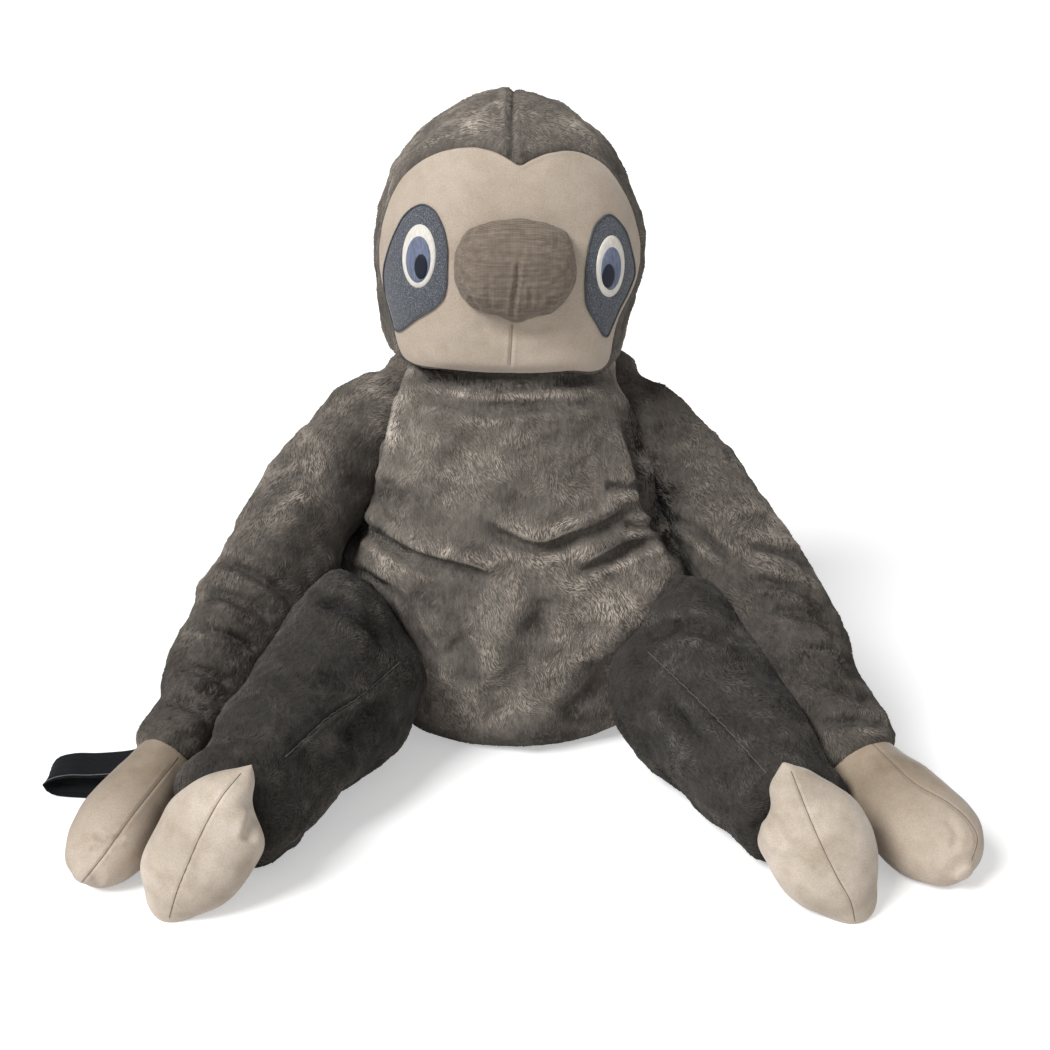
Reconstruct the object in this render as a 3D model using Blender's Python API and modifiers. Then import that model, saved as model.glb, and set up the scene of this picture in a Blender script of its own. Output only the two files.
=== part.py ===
"""Seated plush sloth: stuffed fabric shells with sewn, flexing joints.

Metres, +Z up, the face looks along -Y, and the origin is the middle of the seat on the floor.
The toy's own left side is at +X.
"""

import math

import bmesh
import bpy
from mathutils import Matrix, Vector

# Fabric, seams and clearances
PLUSH_THICKNESS = 0.004
SUEDE_THICKNESS = 0.0025
CANVAS_THICKNESS = 0.0015
EMBROIDERY_THICKNESS = 0.0008
SEAM_GAP = 0.0003
SWING_CLEARANCE = 0.0015
FLOOR_BITE = 0.0005
OVERRUN = 0.05
# how far a lining's flat end lies inside its cover's, in thicknesses of the cloth
lining_end_share = 1.25

# Torso, from the seat up to the neck dome that carries the head
TORSO_HEIGHT = 0.35
BELLY_HALF_WIDTH = 0.166
BELLY_HALF_DEPTH = 0.134
TORSO_SET_FORWARD = 0.01
DOME_DEPTH = 0.06
DOME_CENTRE_HEIGHT = TORSO_HEIGHT - DOME_DEPTH
DOME_RADIUS = 0.115
SIDE_SEAM_Y = 0.022
TORSO_SQUARENESS = 2.3
# height, half width, half depth
torso_shares = (
    (0.0, 0.64, 0.82),
    (0.023, 0.76, 0.92),
    (0.084, 0.87, 0.98),
    (0.186, 0.94, 1.0),
    (0.334, 0.995, 1.0),
    (0.483, 1.0, 0.98),
    (0.613, 0.94, 0.94),
    (0.743, 0.845, 0.89),
    (0.87, 0.755, 0.83),
    (0.96, 0.68, 0.77),
    (1.0, 0.6, 0.68),
)

# Pellet bag in the seat, which keeps the toy upright
BAG_HALF_WIDTH = 0.08
BAG_HALF_DEPTH = 0.07
BAG_HEIGHT = 0.05
BAG_SET_BACK = 0.012
# height, half width, half depth
bag_shares = ((0.0, 0.8, 0.8), (0.25, 1.0, 1.0), (0.65, 0.95, 0.95), (1.0, 0.6, 0.6))

# Neck
NECK_PAD_THICKNESS = 0.012
NECK_PAD_RADIUS = 0.056
PAD_WELL_DEGREES = 46.0

# Head
HEAD_ROLL_DEGREES = 2.0
HEAD_YAW_DEGREES = 4.0
HEAD_SHIFT = -0.004
HEAD_SEAT_DEPTH = 0.027
HEAD_BOTTOM = DOME_CENTRE_HEIGHT + DOME_RADIUS - HEAD_SEAT_DEPTH
HEAD_HEIGHT = 0.245
HEAD_HALF_WIDTH = 0.1265
HEAD_HALF_DEPTH = 0.108
HEAD_SQUARENESS = 2.35
# height, half width, half depth, forward shift in half depths
head_shares = (
    (0.0, 0.8, 0.86, 0.04),
    (0.035, 0.905, 0.97, 0.05),
    (0.13, 0.945, 1.0, 0.05),
    (0.26, 0.985, 1.01, 0.05),
    (0.4, 1.0, 1.0, 0.04),
    (0.53, 0.965, 0.98, 0.02),
    (0.65, 0.885, 0.94, 0.0),
    (0.76, 0.76, 0.86, -0.02),
    (0.855, 0.6, 0.73, -0.04),
    (0.93, 0.42, 0.53, -0.05),
    (0.98, 0.22, 0.3, -0.05),
    (1.0, 0.08, 0.11, -0.05),
)

# Face panel: its side edges lie in one plane, and its upper edge has two lobes and a point between
FACE_EDGE_Y = -0.028
FACE_LOBE_X = 0.046
FACE_LOBE_RISE = 0.201
FACE_POINT_RISE = 0.185
FACE_EYE_RISE = 0.104
FACE_LOBE_HEIGHT = HEAD_BOTTOM + FACE_LOBE_RISE
FACE_POINT_HEIGHT = HEAD_BOTTOM + FACE_POINT_RISE
FACE_EYE_LINE = HEAD_BOTTOM + FACE_EYE_RISE
# across in head half widths, and up from the eye line in shares of the lobe's height over it
face_side_shares = ((0.62, 0.9), (0.83, 0.66), (1.1, 0.12))

# Nose
NOSE_RISE = 0.1005
NOSE_HEIGHT = HEAD_BOTTOM + NOSE_RISE
NOSE_HALF_WIDTH = 0.055
NOSE_HALF_HEIGHT = 0.047
NOSE_HALF_DEPTH = 0.034
NOSE_PROUD = 0.038
NOSE_FRONT_Y = -(HEAD_HALF_DEPTH + NOSE_PROUD)
nose_chin_share = 0.12
nose_brow_share = 0.3

# Eyes: appliqued patch, then embroidered white, iris and pupil
EYE_X = 0.0865
EYE_PATCH_HALF_HEIGHT = 0.06
EYE_PATCH_HALF_WIDTH = 0.0285
# outward and up from the middle of the patch, in its half width and half height
patch_shares = (
    (0.0, 1.0),
    (-0.42, 0.9),
    (-0.78, 0.6),
    (-0.95, 0.1),
    (-0.94, -0.3),
    (-0.8, -0.58),
    (0.72, -1.0),
    (0.98, -0.5),
    (1.04, -0.02),
    (0.88, 0.45),
    (0.55, 0.83),
)
EYE_PATCH_RISE = 0.092
EYE_PATCH_Z = HEAD_BOTTOM + EYE_PATCH_RISE
EYE_WHITE_RISE = 0.105
EYE_WHITE_Z = HEAD_BOTTOM + EYE_WHITE_RISE
EYE_WHITE_HALF_WIDTH = 0.0155
EYE_WHITE_HALF_HEIGHT = 0.031
IRIS_HALF_WIDTH = 0.0112
IRIS_HALF_HEIGHT = 0.0222
PUPIL_HALF_WIDTH = 0.006
PUPIL_HALF_HEIGHT = 0.0118
PUPIL_DROP = 0.0085
EYE_TILT_DEGREES = 6.0

# Arms
SHOULDER_INSET = 0.047
SHOULDER_Y = 0.014
SHOULDER_DROP = 0.036
SHOULDER = Vector((BELLY_HALF_WIDTH - SHOULDER_INSET, SHOULDER_Y, TORSO_HEIGHT - SHOULDER_DROP))
ARM_SPREAD = 0.194
ARM_REACH = 0.276
WRIST_HEIGHT = 0.06
WRIST = Vector((SHOULDER.x + ARM_SPREAD, SHOULDER.y - ARM_REACH, WRIST_HEIGHT))
ARM_BOW_OUT = 0.017
ARM_BOW_BACK = 0.022
ARM_BOW_DOWN = 0.004
ARM_BOW = Vector((ARM_BOW_OUT, ARM_BOW_BACK, -ARM_BOW_DOWN))
SHOULDER_BALL_RADIUS = 0.051
UPPER_ARM_RADIUS = 0.053
CUFF_RADIUS = 0.0425
WRIST_BALL_RADIUS = 0.034
CUFF_STEP_BACK = 0.012
SHOULDER_LIFT_DEGREES = 60.0
# along, radius, bow
arm_shares = (
    (-0.075, 0.7, 0.0),
    (0.0, 0.95, 0.0),
    (0.12, 0.97, 0.62),
    (0.26, 1.0, 0.98),
    (0.42, 1.03, 1.0),
    (0.58, 1.02, 0.84),
    (0.74, 0.95, 0.56),
    (0.89, 0.92, 0.28),
    (1.04, 0.97, 0.0),
)

# Hands
HAND_SPREAD = 0.055
HAND_REACH = 0.116
HAND_TIP_HEIGHT = 0.0268
HAND_TIP = Vector((WRIST.x + HAND_SPREAD, WRIST.y - HAND_REACH, HAND_TIP_HEIGHT))
HAND_RADIUS = 0.0375
# along, radius, bow
hand_shares = (
    (-0.14, 0.62, 0.0),
    (0.0, 0.86, 0.0),
    (0.2, 0.97, 0.0),
    (0.45, 1.04, 0.0),
    (0.7, 1.03, 0.0),
    (0.9, 0.86, 0.0),
    (1.02, 0.58, 0.0),
    (1.07, 0.25, 0.0),
)
PAW_SEAM_TURN_DEGREES = 45.0

# Legs
HIP_INSET = 0.024
HIP_SET_BACK = 0.011
HIP = Vector((BELLY_HALF_WIDTH - HIP_INSET, HIP_SET_BACK - BELLY_HALF_DEPTH, 0.0))
LEG_SPREAD = 0.101
LEG_REACH = 0.219
ANKLE = Vector((HIP.x + LEG_SPREAD, HIP.y - LEG_REACH, 0.0))
HIP_BALL_RADIUS = 0.068
THIGH_RADIUS = 0.078
SHIN_RADIUS = 0.05
ANKLE_BALL_RADIUS = 0.042
SHIN_STEP_BACK = 0.014
HIP_LIFT_DEGREES = 25.0
HIP_AXIS_TILT_DEGREES = 45.0
# along, radius, bow
leg_shares = (
    (-0.15, 0.6, 0.0),
    (0.0, 0.84, 0.0),
    (0.14, 0.97, 0.0),
    (0.34, 1.0, 0.0),
    (0.58, 0.985, 0.0),
    (0.82, 0.99, 0.0),
    (1.04, 1.0, 0.0),
)
LEG_SEAM_TURN_DEGREES = 45.0

# Feet
HEEL_OUT = 0.038
HEEL_FORWARD = 0.052
HEEL_HEIGHT = 0.012
HEEL = Vector((ANKLE.x + HEEL_OUT, ANKLE.y - HEEL_FORWARD, HEEL_HEIGHT))
TOE_IN = 0.026
TOE_FORWARD = 0.034
TOE_HEIGHT = 0.131
TOE = Vector((ANKLE.x - TOE_IN, ANKLE.y - TOE_FORWARD, TOE_HEIGHT))
FOOT_HALF_WIDTH = 0.045
FOOT_HALF_DEPTH = 0.034
# along, half width, half depth
foot_shares = (
    (0.0, 0.6, 0.68),
    (0.1, 0.82, 0.9),
    (0.28, 1.0, 1.04),
    (0.47, 0.98, 0.96),
    (0.66, 0.78, 0.74),
    (0.83, 0.5, 0.48),
    (0.95, 0.25, 0.26),
    (1.0, 0.1, 0.12),
)

# Webbing loop, sewn to the right sleeve just above the cuff
LOOP_ROOT_SHARE = 0.4
LOOP_ROOT_DOWN_DEGREES = 50.0
LOOP_OUT_DEGREES = 6.0
WEBBING_WIDTH = 0.03
WEBBING_THICKNESS = 0.0016
LOOP_LENGTH = 0.116
LOOP_ROOT_OFFSET = 0.0022
LOOP_TWIST_SHARE = 0.4
# outward from the root in loop lengths, and up from the floor in root heights
loop_path_shares = (
    (0.0, 1.0),
    (0.1, 0.93),
    (0.25, 0.73),
    (0.42, 0.57),
    (0.62, 0.5),
    (0.82, 0.46),
    (0.95, 0.34),
    (1.0, 0.19),
    (0.95, 0.06),
    (0.82, 0.0),
    (0.6, 0.0),
    (0.4, 0.0),
    (0.2, 0.2),
    (0.05, 0.7),
)

BODY_SIDES = 24
BODY_LINING_SIDES = 16
LIMB_SIDES = 16
LIMB_LINING_SIDES = 8
PAW_SIDES = 12
PAW_LINING_SIDES = 10
NOSE_SIDES = 16
NOSE_LINING_SIDES = 12
EYE_SIDES = 12
BALL_SEGMENTS = 16
BALL_LINING_SEGMENTS = 10
DOME_SEGMENTS = 24
PAD_SEGMENTS = 48
PAD_RINGS = 16
SWING_STEPS = 5
SWING_SIDES = 12
SHARP_DEGREES = 50.0

SIDES = {"left": 1.0, "right": -1.0}

MATERIALS = {
    "plush": ((0.105, 0.092, 0.082), 0.92, 0.0),
    "face_suede": ((0.56, 0.465, 0.385), 0.85, 0.0),
    "hand_suede": ((0.5, 0.42, 0.345), 0.85, 0.0),
    "nose_linen": ((0.15, 0.122, 0.102), 0.9, 0.0),
    "patch_felt": ((0.085, 0.092, 0.105), 0.85, 0.0),
    "thread_white": ((0.72, 0.68, 0.6), 0.7, 0.0),
    "thread_blue": ((0.11, 0.13, 0.21), 0.7, 0.0),
    "thread_black": ((0.008, 0.01, 0.014), 0.6, 0.0),
    "webbing": ((0.006, 0.008, 0.012), 0.75, 0.0),
    "fibre_fill": ((0.8, 0.8, 0.78), 1.0, 0.0),
    "pellet_cloth": ((0.55, 0.53, 0.48), 0.9, 0.0),
}


def clear_scene():
    for obj in list(bpy.data.objects):
        bpy.data.objects.remove(obj)


def make_collection(name):
    collection = bpy.data.collections.new(name)
    bpy.context.scene.collection.children.link(collection)
    return collection


def make_materials():
    made = {}
    for name, (colour, roughness, metallic) in MATERIALS.items():
        material = bpy.data.materials.new(name)
        material.use_nodes = True
        shader = material.node_tree.nodes["Principled BSDF"]
        shader.inputs["Base Color"].default_value = (*colour, 1.0)
        shader.inputs["Roughness"].default_value = roughness
        shader.inputs["Metallic"].default_value = metallic
        made[name] = material
    return made


def mirrored(point, side):
    return Vector((point.x * side, point.y, point.z))


def object_from_bmesh(name, bm, recalculate=True):
    if recalculate:
        bmesh.ops.recalc_face_normals(bm, faces=bm.faces[:])
    mesh = bpy.data.meshes.new(name)
    bm.to_mesh(mesh)
    bm.free()
    obj = bpy.data.objects.new(name, mesh)
    bpy.context.scene.collection.objects.link(obj)
    return obj


def apply_modifiers(obj):
    """Replaces the object's mesh by the one its modifiers make."""
    bpy.context.view_layer.update()
    graph = bpy.context.evaluated_depsgraph_get()
    mesh = bpy.data.meshes.new_from_object(obj.evaluated_get(graph))
    obj.modifiers.clear()
    obj.data = mesh
    return obj


def discard(*objects):
    for obj in objects:
        bpy.data.objects.remove(obj)


def combine(target, tool, operation, keep_tool=False):
    """Applies one Boolean to target. The tool goes unless it is kept."""
    modifier = target.modifiers.new(operation.lower(), "BOOLEAN")
    modifier.operation = operation
    modifier.solver = "EXACT"
    modifier.object = tool
    apply_modifiers(target)
    if not keep_tool:
        discard(tool)
    return target


def copy_of(obj, name):
    other = obj.copy()
    other.data = obj.data.copy()
    other.name = name
    bpy.context.scene.collection.objects.link(other)
    return other


# Primitive tools


def ball(name, centre, radius, segments, pole, rings=0, spread=1.0):
    """A faceted ball whose poles lie on the given axis, spread out square to it."""
    bm = bmesh.new()
    bmesh.ops.create_uvsphere(bm, u_segments=segments, v_segments=rings or segments // 2, radius=radius)
    bmesh.ops.scale(bm, vec=(spread, spread, 1.0), verts=bm.verts[:])
    obj = object_from_bmesh(name, bm)
    turn = pole.to_track_quat("Z", "Y").to_matrix().to_4x4()
    obj.data.transform(Matrix.Translation(centre) @ turn)
    return obj


def socket(name, centre, radius, segments, pole, rings=0):
    """A ball whose flats clear, by a seam gap, a ball of that radius turning about the same poles."""
    return ball(name, centre, radius + SEAM_GAP, segments, pole, rings, 1 / math.cos(math.pi / segments))


def block(name, low, high):
    bm = bmesh.new()
    bmesh.ops.create_cube(bm, size=1.0)
    bmesh.ops.scale(bm, vec=high - low, verts=bm.verts[:])
    bmesh.ops.translate(bm, vec=(low + high) / 2, verts=bm.verts[:])
    return object_from_bmesh(name, bm)


def slab(name, point, normal, reach):
    """A block with one face through the point, on the side that the normal points to."""
    obj = block(name, Vector((-reach, -reach, 0.0)), Vector((reach, reach, reach)))
    turn = normal.to_track_quat("Z", "Y").to_matrix().to_4x4()
    obj.data.transform(Matrix.Translation(point) @ turn)
    return obj


def prism(name, outline, y_front, y_back):
    """A closed outline of (x, z) points, extruded along Y."""
    bm = bmesh.new()
    front = [bm.verts.new((x, y_front, z)) for x, z in outline]
    face = bm.faces.new(front)
    grown = bmesh.ops.extrude_face_region(bm, geom=[face])["geom"]
    moved = [item for item in grown if isinstance(item, bmesh.types.BMVert)]
    bmesh.ops.translate(bm, vec=(0.0, y_back - y_front, 0.0), verts=moved)
    return object_from_bmesh(name, bm)


def hull(name, points):
    bm = bmesh.new()
    for point in points:
        bm.verts.new(point)
    made = bmesh.ops.convex_hull(bm, input=bm.verts[:])
    loose = [item for item in made["geom_interior"] if isinstance(item, bmesh.types.BMVert)]
    bmesh.ops.delete(bm, geom=loose, context="VERTS")
    return object_from_bmesh(name, bm)


# Lofted soft forms. A station is a centre, two unit axes, two half sizes and a squareness


def ring_points(station, sides, scale=1.0):
    centre, across, up, half_across, half_up, squareness = station
    points = []
    for i in range(sides):
        angle = 2 * math.pi * (i + 0.5) / sides
        c, s = math.cos(angle), math.sin(angle)
        c = math.copysign(abs(c) ** (2 / squareness), c)
        s = math.copysign(abs(s) ** (2 / squareness), s)
        points.append(centre + (across * c * half_across + up * s * half_up) * scale)
    return points


def fair_scale(sides):
    """Makes a section's corners stand out as far as its flats fall in."""
    return 2 / (1 + math.cos(math.pi / sides))


def loft(name, stations, sides, scale=1.0):
    """A closed mesh through the stations, with a flat cap at each end. Forms made alike nest."""
    bm = bmesh.new()
    loops = [[bm.verts.new(p) for p in ring_points(station, sides, scale)] for station in stations]
    for lower, upper in zip(loops, loops[1:]):
        for i in range(sides):
            j = (i + 1) % sides
            bm.faces.new((lower[i], lower[j], upper[j]))
            bm.faces.new((lower[i], upper[j], upper[i]))
    bm.faces.new(loops[0][::-1])
    bm.faces.new(loops[-1])
    return object_from_bmesh(name, bm)


def outside_form(name, stations, sides):
    return loft(name, stations, sides, fair_scale(sides))


def mix(a, b, share):
    """The station part of the way from one to the next."""
    return (
        a[0].lerp(b[0], share),
        a[1].lerp(b[1], share).normalized(),
        a[2].lerp(b[2], share).normalized(),
        a[3] + (b[3] - a[3]) * share,
        a[4] + (b[4] - a[4]) * share,
        a[5],
    )


def inner_stations(stations, inset):
    """The sections of a space one inset inside the stations' form, measured square to its surface."""
    places = [0.0]
    for a, b in zip(stations, stations[1:]):
        places.append(places[-1] + (b[0] - a[0]).length)
    low, high = places[0] + inset * lining_end_share, places[-1] - inset * lining_end_share

    def at(place):
        for i in range(len(places) - 1):
            if place <= places[i + 1]:
                break
        step = places[i + 1] - places[i]
        steepness = max(
            abs(stations[i + 1][3] - stations[i][3]), abs(stations[i + 1][4] - stations[i][4])
        ) / step
        reach = inset * math.sqrt(1 + min(steepness, 3.0) ** 2)
        station = mix(stations[i], stations[i + 1], (place - places[i]) / step)
        return station[:3] + (station[3] - reach, station[4] - reach, station[5])

    kept = [place for place in places if low + inset < place < high - inset]
    found = [at(place) for place in [low] + kept + [high]]
    return [station for station in found if min(station[3], station[4]) > inset]


def lining_form(name, stations, sides, inset):
    return loft(name, inner_stations(stations, inset), sides)


X_AXIS = Vector((1.0, 0.0, 0.0))
Y_AXIS = Vector((0.0, 1.0, 0.0))
Z_AXIS = Vector((0.0, 0.0, 1.0))


def torso_stations():
    return [
        (
            Vector((0.0, -TORSO_SET_FORWARD, height * TORSO_HEIGHT)),
            X_AXIS,
            Y_AXIS,
            width * BELLY_HALF_WIDTH,
            depth * BELLY_HALF_DEPTH,
            TORSO_SQUARENESS,
        )
        for height, width, depth in torso_shares
    ]


def head_tilt():
    """The head's small roll and yaw, about its own middle."""
    middle = Vector((0.0, 0.0, HEAD_BOTTOM + HEAD_HEIGHT / 2))
    roll = Matrix.Rotation(math.radians(HEAD_ROLL_DEGREES), 4, "Y")
    yaw = Matrix.Rotation(math.radians(HEAD_YAW_DEGREES), 4, "Z")
    return Matrix.Translation(middle + X_AXIS * HEAD_SHIFT) @ yaw @ roll @ Matrix.Translation(-middle)


def head_stations(grow=0.0):
    tilt = head_tilt()
    turn = tilt.to_3x3()
    stations = []
    for height, width, depth, shift in head_shares:
        z = HEAD_BOTTOM + height * HEAD_HEIGHT + grow * (height - (1 - height))
        stations.append(
            (
                tilt @ Vector((0.0, -shift * HEAD_HALF_DEPTH, z)),
                turn @ X_AXIS,
                turn @ Y_AXIS,
                width * HEAD_HALF_WIDTH + grow,
                depth * HEAD_HALF_DEPTH + grow,
                HEAD_SQUARENESS,
            )
        )
    return stations


def tilted(obj):
    obj.data.transform(head_tilt())
    return obj


def limb_stations(start, end, bow, start_radius, end_radius, shares, grow=0.0):
    """Round sections along a bowed line from start to end."""
    stations = []
    centres = [start.lerp(end, along) + bow * bowing for along, _, bowing in shares]
    for i, (along, radius, _) in enumerate(shares):
        tangent = (centres[min(i + 1, len(centres) - 1)] - centres[max(i - 1, 0)]).normalized()
        across = tangent.cross(Z_AXIS).normalized()
        up = across.cross(tangent)
        reach = min(max(along, 0.0), 1.0)
        size = radius * (start_radius + (end_radius - start_radius) * reach) + grow
        stations.append((centres[i], across, up, size, size, 2.0))
    return stations


def arm_stations(side, grow=0.0):
    start, end, bow = mirrored(SHOULDER, side), mirrored(WRIST, side), mirrored(ARM_BOW, side)
    return limb_stations(start, end, bow, UPPER_ARM_RADIUS, CUFF_RADIUS, arm_shares, grow)


def hand_stations(side):
    start, end = mirrored(WRIST, side), mirrored(HAND_TIP, side)
    return limb_stations(start, end, Vector(), HAND_RADIUS, HAND_RADIUS, hand_shares)


def leg_ends(side):
    """Hip and ankle centres, at the heights that put the leg's underside on the floor."""
    flat = fair_scale(LIMB_SIDES) * math.cos(math.pi / LIMB_SIDES)
    hip = mirrored(HIP, side) + Z_AXIS * (THIGH_RADIUS * flat - FLOOR_BITE)
    ankle = mirrored(ANKLE, side) + Z_AXIS * (SHIN_RADIUS * flat - FLOOR_BITE)
    return hip, ankle


def leg_stations(side, grow=0.0):
    hip, ankle = leg_ends(side)
    return limb_stations(hip, ankle, Vector(), THIGH_RADIUS, SHIN_RADIUS, leg_shares, grow)


def foot_frame(side):
    """The foot's heel, toe, and unit vectors along it, across it and out through its sole."""
    heel, toe = mirrored(HEEL, side), mirrored(TOE, side)
    hip, ankle = leg_ends(side)
    along = (toe - heel).normalized()
    out = (ankle - hip).normalized()
    out = (out - along * out.dot(along)).normalized()
    return heel, toe, along, along.cross(out), out


def foot_stations(side):
    heel, toe, _, across, out = foot_frame(side)
    return [
        (heel.lerp(toe, along), across, out, width * FOOT_HALF_WIDTH, depth * FOOT_HALF_DEPTH, 2.0)
        for along, width, depth in foot_shares
    ]


# Joint axes


def level_axis(start, end):
    """The level line square to a limb. A positive turn about it lifts the limb's far end."""
    return Z_AXIS.cross(start - end).normalized()


def shoulder_axis(side):
    return level_axis(mirrored(SHOULDER, side), mirrored(WRIST, side))


def hip_axis(side):
    """Tilted from level, so that the leg lifts and draws in, clear of the arm beside it."""
    hip, ankle = leg_ends(side)
    tilt = math.radians(HIP_AXIS_TILT_DEGREES)
    return level_axis(hip, ankle) * math.cos(tilt) - Z_AXIS * side * math.sin(tilt)


# Shared cuts


def cut_at_floor(obj):
    reach = TORSO_HEIGHT * 2
    below = block("floor_cut", Vector((-reach, -reach, -OVERRUN)), Vector((reach, reach, 0.0)))
    return combine(obj, below, "DIFFERENCE")


def swing_room(name, stations, pivot, axis, degrees):
    """The room that a limb's near end sweeps, from rest to its full lift."""
    points = []
    for step in range(SWING_STEPS + 1):
        turn = Matrix.Rotation(math.radians(degrees) * step / SWING_STEPS, 4, axis)
        for station in stations:
            for point in ring_points(station, SWING_SIDES, 1 / math.cos(math.pi / SWING_SIDES)):
                points.append(pivot + turn @ (point - pivot))
    return hull(name, points)


def torso_cutters():
    cutters = []
    for side in SIDES.values():
        hip, _ = leg_ends(side)
        shoulder = mirrored(SHOULDER, side)
        arm_axis, leg_axis = shoulder_axis(side), hip_axis(side)
        arm, leg = arm_stations(side, SWING_CLEARANCE)[1:5], leg_stations(side, SWING_CLEARANCE)[1:5]
        cutters.append(socket("shoulder_socket", shoulder, SHOULDER_BALL_RADIUS, BALL_SEGMENTS, arm_axis))
        cutters.append(socket("hip_socket", hip, HIP_BALL_RADIUS, BALL_SEGMENTS, leg_axis))
        cutters.append(swing_room("arm_room", arm, shoulder, arm_axis, SHOULDER_LIFT_DEGREES))
        cutters.append(swing_room("leg_room", leg, hip, leg_axis, HIP_LIFT_DEGREES))
    return cutters


# Pieces


def place(obj, name, material, pivot):
    """Names the piece, gives it its material, and hangs it from the empty on its joint."""
    obj.name = name
    obj.data.name = name
    obj.data.materials.clear()
    obj.data.materials.append(material)
    obj.data.shade_smooth()
    obj.data.set_sharp_from_angle(angle=math.radians(SHARP_DEGREES))
    for owner in list(obj.users_collection):
        owner.objects.unlink(obj)
    PARTS.objects.link(obj)
    obj.parent = pivot
    obj.location = -pivot.location
    return obj


def make_pivot(name, location):
    """An empty on a joint, at the joint's place in the part's own frame."""
    empty = bpy.data.objects.new(name, None)
    empty.empty_display_size = SEAM_GAP * 100
    PARTS.objects.link(empty)
    empty.location = location
    return empty


def split(shell, point, normal):
    """The two parts of a shell on either side of a plane, half a seam gap back from it."""
    reach = TORSO_HEIGHT * 2
    other = copy_of(shell, "other_half")
    combine(shell, slab("behind", point + normal * SEAM_GAP / 2, -normal, reach), "DIFFERENCE")
    combine(other, slab("ahead", point - normal * SEAM_GAP / 2, normal, reach), "DIFFERENCE")
    return shell, other


def build_torso(materials):
    pivot = make_pivot("torso_frame", Vector())
    stations = torso_stations()
    cover = outside_form("torso_outside", stations, BODY_SIDES)
    lining = lining_form("torso_lining", stations, BODY_LINING_SIDES, PLUSH_THICKNESS)
    filling = lining_form("torso_filling", stations, BODY_LINING_SIDES, PLUSH_THICKNESS + SEAM_GAP)
    dome_centre = Z_AXIS * DOME_CENTRE_HEIGHT
    for obj, inset in ((cover, 0.0), (lining, PLUSH_THICKNESS), (filling, PLUSH_THICKNESS + SEAM_GAP)):
        segments = DOME_SEGMENTS if obj == cover else BODY_LINING_SIDES
        combine(obj, ball("dome", dome_centre, DOME_RADIUS - inset, segments, Z_AXIS), "UNION")
    combine(cover, lining, "DIFFERENCE")
    for cutter in torso_cutters():
        combine(cover, cutter, "DIFFERENCE", keep_tool=True)
        combine(filling, cutter, "DIFFERENCE")

    seat = (PLUSH_THICKNESS + SEAM_GAP) * lining_end_share + SEAM_GAP
    stations = [
        (
            Vector((0.0, BAG_SET_BACK, seat + height * BAG_HEIGHT)),
            X_AXIS,
            Y_AXIS,
            width * BAG_HALF_WIDTH,
            depth * BAG_HALF_DEPTH,
            2.0,
        )
        for height, width, depth in bag_shares
    ]
    bag = loft("pellet_bag", stations, BODY_LINING_SIDES)
    room = [(s[0], s[1], s[2], s[3] + SEAM_GAP * 2, s[4] + SEAM_GAP * 2, s[5]) for s in stations]
    room[0] = (room[0][0] - Z_AXIS * OVERRUN,) + room[0][1:]
    room[-1] = (room[-1][0] + Z_AXIS * SEAM_GAP,) + room[-1][1:]
    combine(filling, loft("bag_room", room, BODY_LINING_SIDES), "DIFFERENCE")

    front, back = split(cover, Y_AXIS * SIDE_SEAM_Y, -Y_AXIS)
    place(front, "torso_front_panel", materials["plush"], pivot)
    place(back, "torso_back_panel", materials["plush"], pivot)
    place(filling, "torso_filling", materials["fibre_fill"], pivot)
    place(bag, "seat_pellet_bag", materials["pellet_cloth"], pivot)


def build_neck(materials):
    """The stuffed pad that the head rests on. It turns on the torso's dome, and the head nods on it."""
    centre = Z_AXIS * DOME_CENTRE_HEIGHT
    pivot = make_pivot("neck_turn_pivot", centre)
    outer = (DOME_RADIUS + SEAM_GAP) / math.cos(math.pi / DOME_SEGMENTS) + NECK_PAD_THICKNESS
    column = [
        (centre + Z_AXIS * height, X_AXIS, Y_AXIS, NECK_PAD_RADIUS, NECK_PAD_RADIUS, 2.0)
        for height in (0.0, outer + OVERRUN)
    ]
    pad = loft("neck_filling", column, BODY_LINING_SIDES)
    combine(pad, ball("pad_outside", centre, outer, PAD_SEGMENTS, X_AXIS, PAD_RINGS), "INTERSECT")
    combine(pad, socket("pad_inside", centre, DOME_RADIUS, DOME_SEGMENTS, Z_AXIS), "DIFFERENCE")
    place(pad, "neck_filling", materials["fibre_fill"], pivot)
    return outer


def face_outline(offset):
    """The face panel's (x, z) outline, moved out by the offset."""
    lobe = FACE_LOBE_HEIGHT - FACE_EYE_LINE
    half = [
        (0.0, FACE_POINT_HEIGHT + offset),
        (FACE_LOBE_X / 2, (FACE_POINT_HEIGHT + FACE_LOBE_HEIGHT) / 2 + offset),
        (FACE_LOBE_X, FACE_LOBE_HEIGHT + offset),
    ]
    for across, up in face_side_shares:
        half.append((across * HEAD_HALF_WIDTH + offset, FACE_EYE_LINE + up * lobe + offset))
    half.append((HEAD_HALF_WIDTH + OVERRUN, HEAD_BOTTOM - OVERRUN))
    return half + [(-x, z) for x, z in reversed(half) if x > 0]


def nose_form(name, inset, sides):
    """A rounded cushion, wide above and drawn in towards the chin."""
    bm = bmesh.new()
    bmesh.ops.create_uvsphere(bm, u_segments=sides, v_segments=sides * 5 // 8, radius=1.0)
    centre_y = NOSE_FRONT_Y + NOSE_HALF_DEPTH
    for vert in bm.verts:
        x, y, z = vert.co
        narrowing = 1 - nose_chin_share * max(0.0, -z)
        if z > 0:
            narrowing += nose_brow_share * z * z
        vert.co = (
            x * narrowing * (NOSE_HALF_WIDTH - inset),
            centre_y + y * (NOSE_HALF_DEPTH - inset),
            NOSE_HEIGHT + z * (NOSE_HALF_HEIGHT - inset),
        )
    return tilted(object_from_bmesh(name, bm))


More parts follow.
